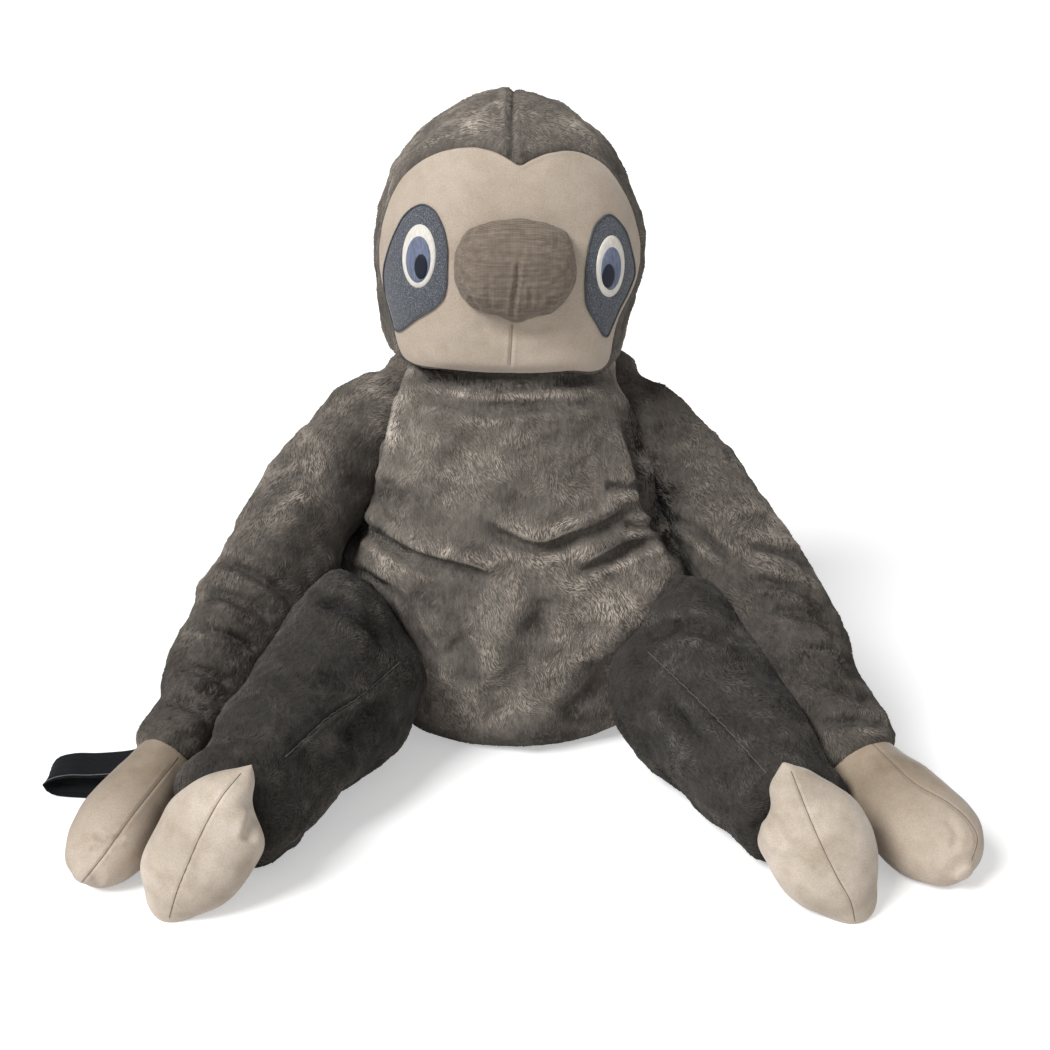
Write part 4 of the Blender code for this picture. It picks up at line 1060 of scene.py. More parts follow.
hood.turn(HEAD_TILT)
face_base.turn(HEAD_TILT)
face_pixels = closed_curve(FACE_OUTLINE, 440)
face_edge = near_places(face_base, face_pixels)
rows, around, _ = face_base.points.shape
front_turn = around * 0.75
face_edge[:, 0] = (face_edge[:, 0] - front_turn + around / 2) % around - around / 2
face_edge[:, 1] -= 5.0 * smoothstep(352, 362, face_pixels[:, 1])
face_edge = smooth_ring(face_edge, 10)

# The hood lies a little lower under the face, and dips along its edge and its middle seam
rows, around, _ = hood.points.shape
turn_grid = ((np.arange(around) - front_turn + around / 2) % around - around / 2)[None].repeat(rows, 0)
row_grid = np.arange(rows)[:, None].repeat(around, 1).astype(float)
grid_places = np.stack([turn_grid, row_grid], -1).reshape(-1, 2)
edge_gap, _, _ = path_distance(grid_places, np.concatenate([face_edge, face_edge[:1]]))
crossings = np.zeros(len(grid_places), bool)
for a, b in zip(face_edge, np.roll(face_edge, -1, 0)):
    spans = (a[1] > grid_places[:, 1]) != (b[1] > grid_places[:, 1])
    if b[1] != a[1]:
        at_x = a[0] + (grid_places[:, 1] - a[1]) / (b[1] - a[1]) * (b[0] - a[0])
        crossings ^= spans & (grid_places[:, 0] < at_x)
inside = crossings.reshape(rows, around)
edge_gap = edge_gap.reshape(rows, around) * 0.0022
signed = np.where(inside, edge_gap, -edge_gap)
hood_soft = soften(hood, 0.0014, 0.0005, 0.0002) * smoothstep(0.376, 0.4, hood.points[..., 2])
hood_push = hood_soft * (1 - smoothstep(-0.01, 0.0, signed))
hood_push += 0.0012 * bell(signed, -0.008, 0.006)
hood_push -= 0.0026 * smoothstep(-0.003, 0.004, signed)
middle_gap = np.abs(hood.points[..., 0])
crown = smoothstep(0.5, 0.56, hood.points[..., 2]) + (hood.points[..., 1] > 0.02)
seam = np.clip(crown, 0, 1) * (hood.points[..., 2] > 0.385) * (~inside)
hood_push += seam * (0.0014 * bell(middle_gap, 0.007, 0.005) - 0.0024 * bell(middle_gap, 0.0, 0.003))
# The hood's dips are kept as its creases, which the pile turns into painted shade
hood.creases = np.minimum(0.0, hood_push) * (1 - smoothstep(-0.004, 0.0, signed))
hood.push(hood_push)


def clear_of_dome(points, radius):
    """Moves points that are nearer the neck's centre than the radius out to it."""
    off = points - DOME_CENTRE
    d = np.linalg.norm(off, axis=-1, keepdims=True)
    return np.where(d < radius, DOME_CENTRE + off * (radius / d), points)


hood.points = clear_of_dome(hood.points, BOWL_RADIUS)
hood.normals = hood.find_normals()
hood_cover = hood.mesh("hood_cover", BODY_SKIN)
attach(hood_cover, "head")
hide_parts("hood_left", "hood_right", "head_filling")


def face_surface(places):
    return at_places(face_base, places[..., 0] + front_turn, places[..., 1])


def face_lift(share):
    """Crowned at the edge, where the cloth is turned under, and flat inside it."""
    return 0.0012 - 0.0042 * smoothstep(0.955, 1.0, share) ** 1.5 + 0.0007 * bell(share, 0.95, 0.02)


FACE_MIDDLE_HEIGHT = 0.475
front = face_base.points
off_middle = np.hypot(front[..., 0], front[..., 2] - FACE_MIDDLE_HEIGHT) + np.where(front[..., 1] < 0, 0, 9)
face_centre = np.array((0.0, off_middle.argmin() // around), float)
face_cover, face_points, face_normals = polar_patch(
    "face_cover", face_edge, face_centre, face_surface, 110, face_lift, 0.004, FACE_SUEDE
)
chin = (((512, 318), (512, 335), (511, 352), (510, 370)), 2.2, 0.0016, 0.0)
chin_hollow = (((470, 322), (490, 330), (512, 333), (535, 330), (556, 320)), 9, 0.002, 0.0)
push = fold_depth(face_points, face_normals, (chin, chin_hollow))
mesh = face_cover.data
coords = np.zeros(len(mesh.vertices) * 3, np.float32)
mesh.vertices.foreach_get("co", coords)
coords = coords.reshape(-1, 3)
count = face_points.shape[0] * face_points.shape[1]
coords[1:1 + count] += (face_normals * push[..., None]).reshape(-1, 3)
mesh.vertices.foreach_set("co", coords.ravel())
mesh.update()
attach(face_cover, "head")
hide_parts("face_panel")

# Nose: a cushion whose widest section is fitted so that its outline shows as the photograph's
NOSE_OUTLINE = (
    (454, 264), (455, 250), (461, 238), (472, 228), (492, 221), (520, 219), (548, 223), (565, 232),
    (574, 248), (577, 266), (574, 286), (565, 302), (551, 313), (532, 318), (513, 322), (497, 316),
    (477, 309), (462, 298), (455, 282),
)
NOSE_MIDDLE = np.array((516.0, 268.0))
PIXEL_AT_NOSE = 0.00091
BINS = 90
nose_rows, nose_around = 150, 220
polar = np.linspace(0, math.pi, nose_rows)[:, None]
turn = (2 * math.pi * np.arange(nose_around) / nose_around)[None]
outline = closed_curve(NOSE_OUTLINE, 900)
outline_turn = np.arctan2(NOSE_MIDDLE[1] - outline[:, 1], outline[:, 0] - NOSE_MIDDLE[0]) % (2 * math.pi)
outline_reach = np.hypot(*(outline - NOSE_MIDDLE).T)
by_turn = np.argsort(outline_turn)
wanted = np.interp(turn[0], outline_turn[by_turn], outline_reach[by_turn], period=2 * math.pi)
reach_scale = wanted * PIXEL_AT_NOSE
nose = Form.__new__(Form)
nose_at = np.array((0.0015, 0.0, NOSE_HEIGHT))
for attempt in range(6):
    width = np.sin(polar) ** 0.82 * reach_scale[None]
    depth = -np.sign(np.cos(polar)) * np.abs(np.cos(polar)) ** 0.9
    nose.points = np.stack([
        nose_at[0] + width * np.cos(turn),
        NOSE_FRONT_Y + NOSE_HALF_DEPTH + depth * (NOSE_HALF_DEPTH - 0.002) + 0 * turn,
        nose_at[2] + width * np.sin(turn),
    ], -1)
    nose.normals = nose.find_normals()
    nose.turn(HEAD_TILT)
    off = pixels(nose.points).reshape(-1, 2) - NOSE_MIDDLE
    seen_turn = (np.arctan2(-off[:, 1], off[:, 0]) % (2 * math.pi)) / (2 * math.pi) * BINS
    seen_reach = np.zeros(BINS)
    np.maximum.at(seen_reach, seen_turn.astype(int) % BINS, np.hypot(off[:, 0], off[:, 1]))
    seen = np.interp(turn[0] / (2 * math.pi) * BINS - 0.5, np.arange(BINS), seen_reach, period=BINS)
    reach_scale = reach_scale * smooth_ring(wanted / np.maximum(seen, 1.0), 8)
NOSE_FOLDS = (
    (((519, 258), (518, 275), (515, 295), (512, 322)), 3.0, 0.0022, 0.0),
    (((468, 296), (474, 304), (481, 312)), 3.0, 0.002, 0.0),
    (((540, 316), (547, 308), (552, 298)), 3.0, 0.002, 0.0),
    (((462, 250), (490, 240), (519, 238), (550, 242), (570, 254)), 14, 0.0012, 0.0),
    (((493, 310), (489, 296), (487, 284)), 3.0, 0.0012, 0.0),
    (((528, 314), (531, 298), (530, 284)), 3.0, 0.0012, 0.0),
)
nose.push(fold_depth(nose.points, nose.normals, NOSE_FOLDS) + soften(nose, 0.0006, 0.0005, 0.0002))
nose_cushion = nose.mesh("nose_cushion", LINEN)
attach(nose_cushion, "head")
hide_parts("nose_cover", "nose_filling")


def tree_of_object(obj):
    verts = [v.co[:] for v in obj.data.vertices]
    return BVHTree.FromPolygons(verts, [p.vertices[:] for p in obj.data.polygons])


def tube(name, line, radius, material, closed=False, sides=6):
    """A thin closed cord along a line of points."""
    line = np.asarray(line, float)
    if closed:
        tangents = unit(np.roll(line, -1, 0) - np.roll(line, 1, 0))
    else:
        tangents = unit(np.gradient(line, axis=0))
    first = unit(np.cross(tangents, unit(np.cross(tangents, (0.31, 0.22, 0.92)))))
    second = np.cross(tangents, first)
    angle = 2 * math.pi * np.arange(sides) / sides
    size = np.full(len(line), radius)
    if not closed:
        size[0] = size[-1] = radius * 0.3
    rings = line[:, None] + size[:, None, None] * (
        np.cos(angle)[None, :, None] * first[:, None] + np.sin(angle)[None, :, None] * second[:, None]
    )
    count = len(line)
    steps = count if closed else count - 1
    i = np.arange(steps)[:, None] * sides
    i_next = ((np.arange(steps) + 1) % count)[:, None] * sides
    j = np.arange(sides)
    k = (j + 1) % sides
    faces = np.stack([i + j, i + k, i_next + k, i_next + j], -1).reshape(-1, 4)
    u = np.stack(np.broadcast_arrays(i * 0 + j / sides, i * 0 + (j + 1) / sides), -1)
    places = np.arange(steps)[:, None] / steps
    uv = np.stack([
        np.stack([u[..., 0], places + 0 * u[..., 0]], -1),
        np.stack([u[..., 1], places + 0 * u[..., 0]], -1),
        np.stack([u[..., 1], places + 1 / steps + 0 * u[..., 0]], -1),
        np.stack([u[..., 0], places + 1 / steps + 0 * u[..., 0]], -1),
    ], -2).reshape(-1, 2)
    verts = rings.reshape(-1, 3)
    groups = [faces]
    if not closed:
        caps = np.array([np.arange(sides)[::-1], np.arange(sides) + (count - 1) * sides])
        groups.append(caps)
        ends = 0.5 + np.random.default_rng(1).random((2 * sides, 2)) * 0.01
        uv = np.concatenate([uv, ends])
    probe = np.cross(rings[1, 1] - rings[1, 0], rings[2, 0] - rings[1, 0])
    flip = probe @ (rings[1, 0] - line[1]) < 0
    return make_mesh(name, verts, groups, uv, material, flip)


def seen_line(tree, path, lift, step=1.2):
    """The points on a surface under a pixel path, raised a little."""
    path = smooth_path(path, 12)
    run = np.concatenate([[0.0], np.cumsum(np.linalg.norm(np.diff(path, axis=0), axis=1))])
    at = np.arange(0, run[-1], step)
    found = []
    for pixel in np.stack([np.interp(at, run, path[:, k]) for k in range(2)], -1):
        hit, normal, _, _ = tree.ray_cast(Vector(EYE), Vector(ray_through(pixel)))
        if hit is not None:
            n = np.array(normal)
            found.append(np.array(hit) + (n if n @ (EYE - np.array(hit)) > 0 else -n) * lift)
    return np.array(found)


def seam_cord(name, tree, path, lift, body):
    obj = tube(name, seen_line(tree, path, lift), 0.0004, SEAM_THREAD)
    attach(obj, body)


chin_path = ((512, 324), (512, 335), (511, 352), (510, 367))
seam_cord("chin_seam", tree_of_object(face_cover), chin_path, 0.0, "head")

# Eyes, laid on the face where the photograph shows them
EYES = {
    "right": {
        "patch": (
            (424, 204), (433, 208), (443, 224), (448, 245), (448, 269), (447, 289), (444, 299), (439, 305),
            (418, 319), (398, 331), (392, 314), (386, 289), (385, 274), (390, 249), (398, 229), (406, 215),
            (415, 207),
        ),
        "white": (420.5, 256.0, 16.5, 32.0, 2.0),
        "iris": (420.5, 259.0, 12.3, 23.7, 2.0),
        "pupil": (423.5, 266.0, 6.4, 12.6, 2.0),
    },
    "left": {
        "patch": (
            (607, 214), (596, 222), (589, 240), (585, 265), (584, 290), (585, 304), (594, 322), (605, 337),
            (611, 325), (617, 311), (627, 291), (633, 274), (630, 250), (622, 227),
        ),
        "white": (608.5, 266.0, 14.0, 31.0, 3.0),
        "iris": (608.5, 268.0, 10.0, 22.0, 3.0),
        "pupil": (605.5, 275.0, 6.0, 12.0, 3.0),
    },
}
face_tree = tree_of(face_base)
look = seen_surface(face_tree)


def decal(name, border, base, thickness, rings, material, node):
    """A raised layer with a rounded edge, at a height above the face's base form."""
    border = np.asarray(border, float)

    def lift(share):
        return base + thickness * np.sqrt(np.clip(1 - share**8, 0, 1))

    obj, _, _ = polar_patch(name, border, border.mean(0), look, rings, lift, -0.0012, material)
    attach(obj, "head")
    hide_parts(node)


for side, eye in EYES.items():
    patch = closed_curve(eye["patch"], 220)
    decal("eye_felt_" + side, patch, 0.0014, 0.0012, 22, FELT, "eye_patch_" + side)
    patch_edge, edge_normals = look(patch * 0.985 + patch.mean(0) * 0.015)
    edging = tube("eye_edging_" + side, patch_edge + edge_normals * 0.0023, 0.0008, EDGE_THREAD, closed=True)
    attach(edging, "head")
    white = ellipse(*eye["white"], 160)
    decal("eye_ring_" + side, white, 0.0024, 0.0014, 12, WHITE_THREAD, "eye_white_" + side)
    iris = ellipse(*eye["iris"], 140)
    decal("eye_iris_" + side, iris, 0.0034, 0.0013, 10, BLUE_THREAD, "iris_" + side)
    pupil = ellipse(*eye["pupil"], 110)
    decal("eye_pupil_" + side, pupil, 0.0044, 0.0012, 8, BLACK_THREAD, "pupil_" + side)

# Arms, hands, legs and feet
limbs = {}
for name, side in SIDES.items():
    sleeve = arm_form(side)
    shift_near(sleeve, ARM_MOVES[name])
    soft = soften(sleeve, 0.002, 0.0007, 0.0001)
    sleeve.push(soft)
    sleeve.crease(ARM_FOLDS[name], 1.25)
    sleeve.rest_on_floor()
    limbs["sleeve_" + name] = sleeve
    obj = sleeve.mesh("sleeve_cover_" + name, SHADED_ARM_SKIN)
    shoulder, wrist = mirrored(SHOULDER, side), mirrored(WRIST, side)
    line = unit(wrist - shoulder)
    blend_limb(obj)
    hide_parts("sleeve_" + name, "arm_filling_" + name)

    hand = hand_form(side)
    shift_near(hand, HAND_MOVES[name])
    hand.push(soften(hand, 0.0009, 0.00015, 0.0) + fold_depth(hand.points, hand.normals, HAND_FOLDS[name]))
    hand.rest_on_floor()
    obj = hand.mesh("hand_cover_" + name, HAND_SUEDE)
    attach(obj, "hand_" + name)
    seam_cord("hand_seam_" + name, tree_of(hand), HAND_SEAMS[name], 0.0001, "hand_" + name)
    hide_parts("hand_outer_panel_" + name, "hand_inner_panel_" + name, "hand_filling_" + name)

    leg = leg_form(side)
    shift_near(leg, LEG_MOVES[name])
    leg.push(soften(leg, 0.0022, 0.0005, 0.0001))
    leg.crease(LEG_FOLDS[name], 1.3)
    leg.rest_on_floor()
    limbs["leg_" + name] = leg
    obj = leg.mesh("leg_cover_" + name, SHADED_LEG_SKIN)
    hip, ankle = mirrored(HIP, side), mirrored(ANKLE, side)
    line = unit(ankle - hip)
    blend_limb(obj)
    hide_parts("leg_outer_panel_" + name, "leg_inner_panel_" + name, "leg_filling_" + name)

    foot = foot_form(side)
    shift_near(foot, FOOT_MOVES[name])
    foot.push(soften(foot, 0.0009, 0.00015, 0.0) + fold_depth(foot.points, foot.normals, FOOT_FOLDS[name]))
    foot.rest_on_floor()
    obj = foot.mesh("foot_cover_" + name, FOOT_SUEDE)
    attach(obj, "foot_" + name)
    seam_cord("foot_seam_" + name, tree_of(foot), FOOT_SEAMS[name], 0.0001, "foot_" + name)
    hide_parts("foot_outer_panel_" + name, "foot_inner_panel_" + name, "foot_filling_" + name)

# Webbing loop
LOOP_ROOT = np.array((-0.322141, -0.215368, 0.045077))
LOOP_LENGTH = 0.116
loop_path_shares = (
    (0.0, 1.0), (0.1, 0.93), (0.25, 0.73), (0.42, 0.57), (0.62, 0.5), (0.82, 0.46), (0.95, 0.34), (1.0, 0.19),
    (0.95, 0.06), (0.82, 0.0), (0.6, 0.0), (0.4, 0.0), (0.2, 0.2), (0.05, 0.7),
)
loop_out = np.array((-math.cos(math.radians(6.0)), math.sin(math.radians(6.0)), 0.0))
loop_flat = np.cross(Z_AXIS, loop_out)
LOOP_FLOOR = 0.0009
LOOP_RAISED = 0.0052
WEBBING_HALF_WIDTH = 0.015
WEBBING_HALF_THICKNESS = 0.0008
route = []
for along, up in loop_path_shares:
    height = LOOP_FLOOR + up * (LOOP_ROOT[2] - LOOP_FLOOR)
    point = np.array((LOOP_ROOT[0], LOOP_ROOT[1], height)) + loop_out * along * LOOP_LENGTH
    way = unit(loop_flat - Z_AXIS * 0.36 * min(1.0, along / 0.3))
    route.append(np.concatenate([point, way]))
route = closed_curve(route, 180)
ways = unit(route[:, 3:])
path = route[:, :3]
path[:, 2] = np.maximum(path[:, 2], LOOP_FLOOR) + LOOP_RAISED
tangents = unit(np.roll(path, -1, 0) - np.roll(path, 1, 0))
ways = unit(ways - (ways * tangents).sum(-1, keepdims=True) * tangents)
faces_out = unit(np.cross(tangents, ways))
across_shares = np.linspace(-1, 1, 17)
profile = [(s, 1.0) for s in across_shares] + [(s, -1.0) for s in across_shares[::-1]]
loop_verts = []
for share, way in profile:
    edge = np.sqrt(np.clip(1 - abs(share) ** 14, 0.12, 1))
    ridge = 1 + 0.22 * math.cos(share * 38) * (abs(share) < 0.85)
    offset = faces_out * way * WEBBING_HALF_THICKNESS * edge * ridge
    loop_verts.append(path + ways * share * WEBBING_HALF_WIDTH + offset)
loop_verts = np.stack(loop_verts, 1)
n_path, n_profile = loop_verts.shape[:2]
i = np.arange(n_path)[:, None] * n_profile
i_next = ((np.arange(n_path) + 1) % n_path)[:, None] * n_profile
j = np.arange(n_profile)
k = (j + 1) % n_profile
loop_faces = np.stack([i + j, i + k, i_next + k, i_next + j], -1).reshape(-1, 4)
u0, u1 = np.arange(n_path)[:, None] / n_path, (np.arange(n_path)[:, None] + 1) / n_path
v0, v1 = j / n_profile, (j + 1) / n_profile
spread_u = np.stack(np.broadcast_arrays(u0 + 0 * v0, u0 + 0 * v0, u1 + 0 * v0, u1 + 0 * v0), -1)
spread_v = np.stack(np.broadcast_arrays(v0 + 0 * u0, v1 + 0 * u0, v1 + 0 * u0, v0 + 0 * u0), -1)
loop_uv = np.stack([spread_u, spread_v], -1).reshape(-1, 2)
flat_verts = loop_verts.reshape(-1, 3)
a, b, c = (flat_verts[loop_faces[:, n]] - flat_verts.mean(0) for n in (0, 1, 2))
flat_verts[:, 2] = np.maximum(flat_verts[:, 2], FLOOR_CLEAR)
loop = make_mesh("wrist_webbing", flat_verts, [loop_faces], loop_uv, WEBBING, (a * np.cross(b, c)).sum() < 0)
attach(loop, "loop")
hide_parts("hand_loop")
nearer = -1 if (ways[60] @ (EYE - path[60])) < 0 else 1
outward = np.sign(((path - path.mean(0)) * faces_out).sum())
stitch_line = path + ways * nearer * 0.0128 + faces_out * outward * 0.0011
stitch_line[:, 2] = np.maximum(stitch_line[:, 2], 0.001)
stitch = tube("wrist_stitch", stitch_line, 0.0004, GREY_THREAD, closed=True)
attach(stitch, "loop")


# Pile: short locks of fibre that lie along the cloth


class Streaks:
    """A field of narrow streaks along a direction."""

    def __init__(self, seed, line, count=60):
        rng = np.random.default_rng(seed)
        line = unit(np.array(line, float))
        out = rng.normal(size=(count, 3))
        out = unit(out - (out @ line)[:, None] * line)
        along = rng.uniform(0.006, 0.015, count) * np.where(rng.random(count) < 0.5, -1, 1)
        across = rng.uniform(0.0019, 0.004, count)
        self.k = 2 * math.pi * (line / along[:, None] + out / across[:, None])
        self.phase = rng.uniform(0, 2 * math.pi, count)
        self.scale = math.sqrt(2 / count)

    def __call__(self, points):
        return np.sin(points @ self.k.T + self.phase).sum(-1) * self.scale


LOCKS_A_SQUARE_METRE = 620000
LOCKS_A_PIECE = 48000
ROOT_DEPTH = 0.0012
ROOTS_FLOOR = 0.0035
torso_tree = tree_of(torso)
swirls = Waves(31, 0.03, 0.11, 26)
leans = Waves(32, 0.02, 0.07, 30)
turns_aside = Waves(33, 0.012, 0.03, 40)
patches = Waves(34, 0.03, 0.10, 30)
small_patches = Waves(35, 0.010, 0.028, 50)


def painted_light_and_shade(root, normal, marks):
    """Painted light and shade on the pile: each mark is a place, a radius in pixels, and lighter or darker.
    """
    at = pixels(root)
    total = np.zeros(len(root))
    for place, radius, amount in marks:
        radius = np.array(radius if isinstance(radius, tuple) else (radius, radius), float)
        total += amount * np.exp(-(((at - place) / radius) ** 2).sum(-1))
    facing = (unit(EYE - root) * normal).sum(-1)
    return total * smoothstep(-0.3, 0.0, facing)


def pile(name, form, parting_shade, length, flow, line, keep, seed, material, marks, dress):
    """Covers a form with locks, in pieces small enough to hand on. Each lock is a closed spike."""
    rows, around, _ = form.points.shape
    p = form.points
    right = np.roll(p, -1, 1)
    area = np.linalg.norm(np.cross(p[1:] - p[:-1], right[:-1] - p[:-1]), axis=-1)
    rng = np.random.default_rng(seed)
    number = int(area.sum() * LOCKS_A_SQUARE_METRE)
    cell = rng.choice(area.size, number, p=(area / area.sum()).ravel())
    row = cell // around + rng.random(number)
    turn = cell % around + rng.random(number)
    root, normal = at_places(form, turn, row)
    kept = keep(root, normal, turn, row)
    root, normal, turn, row = root[kept], normal[kept], turn[kept], row[kept]
    number = len(root)
    stream = flow(root, normal)
    tangent = unit(stream - (stream * normal).sum(-1, keepdims=True) * normal)
    aside = np.cross(normal, tangent)
    angle = 0.42 * swirls(root) + 0.2 * turns_aside(root) + rng.normal(0, 0.13, number)
    lay = tangent * np.cos(angle)[:, None] + aside * np.sin(angle)[:, None]
    streak = Streaks(seed, line)(root)
    parting = smoothstep(0.3, 1.5, streak)
    lean = np.radians(np.clip(20 + 5 * leans(root) - 9 * parting + rng.normal(0, 3, number), 6, 40))
    way = lay * np.cos(lean)[:, None] + normal * np.sin(lean)[:, None]
    across = np.cross(normal, lay)
    size = length(root) * rng.uniform(0.78, 1.2, number) * (1 - 0.2 * parting)
    half = rng.uniform(0.0003, 0.00052, number)[:, None]
    base = root - normal * ROOT_DEPTH
    verts = np.stack([
        base + across * half,
        base - across * half,
        base + normal * 0.0015 - lay * 0.0004,
        base + way * size[:, None],
    ], 1)
    verts[..., 2] = np.maximum(verts[..., 2], FLOOR_CLEAR)
    soft = np.stack([
        unit(normal + across * 0.35 + lay * 0.1),
        unit(normal - across * 0.35 + lay * 0.1),
        normal,
        unit(normal * 0.85 + way * 0.4),
    ], 1)
    creased = form.creases[np.clip(row.round().astype(int), 0, rows - 1), turn.round().astype(int) % around]
    # Random patches of tone, with painted shade along the partings between locks
    tone = 0.19 * patches(root) + 0.1 * small_patches(root) - parting_shade * parting
    tone += rng.normal(0.22 * parting_shade, 0.1, number)
    # Painted shade in the fold valleys and painted light on the fold banks, from the crease depth
    tone += np.clip(creased * 220, -1.5, 0.4)
    # Painted light and shade from the marks tables, then stored on each lock as pile_shade
    shade = np.exp(np.clip(tone + painted_light_and_shade(root, normal, marks), -3.4, 0.9))
    corner_u = np.array((0.0006, -0.0006, 0.0, 0.0))
    corner_v = np.array((0.0, 0.0, 0.0006, -0.0012))
    u = np.clip((turn / around)[:, None], 0.001, 0.999) + corner_u
    v = np.clip((row / rows)[:, None], 0.002, 0.998) + corner_v
    uv = np.stack([u, v], -1)
    corners = np.array(((0, 1, 2), (1, 3, 2), (3, 0, 2), (1, 0, 3)))
    probe = verts[0] - verts[0].mean(0)
    volume = sum(probe[a] @ np.cross(probe[b], probe[c]) for a, b, c in corners)
    if volume < 0:
        corners = corners[:, ::-1]
    pieces = -(-number // LOCKS_A_PIECE)
    bounds = np.linspace(0, number, pieces + 1).astype(int)
    order = np.argsort(root[:, 0], kind="stable")
    for count, (low, high) in enumerate(zip(bounds, bounds[1:])):
        part = order[low:high]
        faces = (np.arange(len(part))[:, None, None] * 4 + corners).reshape(-1, 3)
        points, maps = verts[part].reshape(-1, 3), uv[part].reshape(-1, 2)
        obj = make_mesh(name + "_" + str(count + 1), points, [faces], maps[faces.ravel()], material)
        obj.data.normals_split_custom_set_from_vertices(soft[part].reshape(-1, 3).tolist())
        tones = obj.data.attributes.new("pile_shade", "FLOAT", "POINT")
        tones.data.foreach_set("value", np.repeat(shade[part], 4).astype(np.float32))
        dress(obj)


def outside_torso(root, normal, turn, row):
    """Keeps the roots that don't lie deep inside the torso."""
    kept = root[:, 2] > ROOTS_FLOOR
    for i in np.nonzero(kept)[0]:
        hit, out, _, gap = torso_tree.find_nearest(Vector(root[i]), 0.08)
        if hit is not None and gap > 0.008 and (Vector(root[i]) - hit).dot(out) < 0:
            kept[i] = False
    return kept


def even(size):
    return lambda root: np.full(len(root), size)


def plush_pile(name, low, high):
    """The pile's colour: uneven dye, times each lock's pile_shade, which holds random tone and painted light
    and shade.
    """
    n = Nodes(name, 0.9, sheen=0.06, sheen_roughness=0.5, specular=0.06)
    dye = n.noise(60.0, 3.0, 0.6)
    base = n.ramp(dye, low, high, 0.35, 0.68)
    shade = n.tree.nodes.new("ShaderNodeAttribute")
    shade.attribute_name = "pile_shade"
    n.colour(n.mix(base, shade.outputs["Color"], 1.0, "MULTIPLY"))
    n.rough(n.range(n.island(), 0.75, 0.95))
    return n.material


# One plush in four copies, lightest on the torso and darkest on the legs: painted light and shade for how
# each part's pile takes the light
BODY_PILE = plush_pile("body_pile", (0.25, 0.219, 0.188), (0.32, 0.281, 0.242))
HOOD_PILE = plush_pile("hood_pile", (0.195, 0.17, 0.144), (0.25, 0.219, 0.187))
SHADED_ARM_PILE = plush_pile("arm_pile", (0.125, 0.109, 0.093), (0.175, 0.153, 0.131))
SHADED_LEG_PILE = plush_pile("leg_pile", (0.046, 0.0415, 0.0365), (0.072, 0.065, 0.057))
# Painted shadow in the gap between the arm and the torso, laid on the pile of both
GAP_PAINTED_SHADOW = (
    ((630, 414), (5, 16), -1.6), ((638, 444), (6, 18), -2.0), ((649, 470), (9, 18), -2.6),
    ((656, 496), (11, 18), -2.8), ((664, 520), (10, 16), -2.6), ((675, 544), (8, 14), -2.4),
    ((685, 565), (6, 12), -2.2),
)
# Painted light and shade on each part's pile, among them a painted shadow band under the chin: place, radius
# in pixels, and lighter or darker
BODY_PAINTED_SHADING = GAP_PAINTED_SHADOW + (
    ((533, 626), (16, 26), -0.55), ((458, 640), (18, 24), -0.5), ((385, 500), (34, 36), -0.95),
    ((425, 522), (44, 20), -0.7), ((540, 640), (60, 60), 0.3), ((372, 455), (14, 50), -0.5),
    ((500, 379), (125, 9), -1.2), ((500, 396), (110, 4), 0.3), ((500, 411), (105, 8), -0.7),
    ((445, 585), (60, 22), -0.6), ((365, 560), (30, 30), -0.7), ((360, 490), (6, 70), -0.9),
    ((605, 515), (45, 12), -0.5), ((640, 540), (30, 10), -0.45), ((600, 600), (60, 50), 0.35),
    ((560, 470), (60, 40), 0.15), ((410, 630), (22, 60), -0.35), ((520, 740), (110, 18), -0.9),
    ((430, 700), (22, 40), -0.5), ((595, 705), (26, 30), -0.45), ((520, 470), (80, 50), 0.15),
    ((560, 560), (70, 12), 0.2),
)
HOOD_PAINTED_SHADING = (
    ((515, 130), (9, 40), -0.35), ((380, 290), (12, 60), -0.3), ((634, 290), (12, 60), -0.3),
    ((460, 130), (40, 20), 0.1), ((578, 122), (30, 22), 0.4),
)
ARM_PAINTED_SHADING = GAP_PAINTED_SHADOW + (
    ((810, 680), (60, 70), -1.2), ((770, 620), (30, 50), -0.6), ((668, 506), (15, 62), -1.2),
    ((700, 575), (26, 30), -0.8), ((775, 530), (45, 40), 0.5), ((735, 465), (40, 40), 0.35),
    ((845, 620), (30, 20), 0.35), ((700, 430), (60, 40), 0.1), ((660, 450), (24, 60), -0.5),
    ((195, 700), (60, 60), -1.35), ((240, 620), (50, 34), -0.5), ((300, 560), (50, 30), -0.5),
    ((255, 575), (14, 10), 0.35), ((262, 598), (30, 8), -0.7), ((352, 500), (16, 80), -1.0),
    ((290, 450), (50, 40), 0.1), ((215, 560), (20, 20), 0.2), ((190, 640), (16, 14), 0.35),
)
LEG_PAINTED_SHADING = (
    ((355, 600), (40, 16), 0.35), ((395, 690), (22, 50), 0.45), ((345, 800), (70, 22), 0.6),
    ((300, 820), (20, 40), 0.3), ((250, 790), (40, 40), -0.35), ((300, 660), (40, 40), -0.3),
    ((330, 720), (40, 30), -0.35), ((735, 640), (40, 30), 0.3), ((680, 760), (30, 24), 0.4),
    ((760, 740), (40, 30), 0.25), ((700, 720), (30, 30), -0.3), ((640, 690), (16, 50), -0.4),
    ((690, 600), (40, 10), -0.3),
)


def steady(line):
    """The same way everywhere."""
    return lambda root, normal: np.broadcast_to(line, root.shape)


def hood_flow(root, normal):
    out = np.zeros_like(root)
    out[:, 0] = np.tanh(root[:, 0] / 0.03)
    out[:, 1] = 0.35
    out[:, 2] = -0.9
    return out


def riding(body):
    def dress(obj):
        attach(obj, body)

    return dress


def bending():
    def dress(obj):
        blend_limb(obj)

    return dress


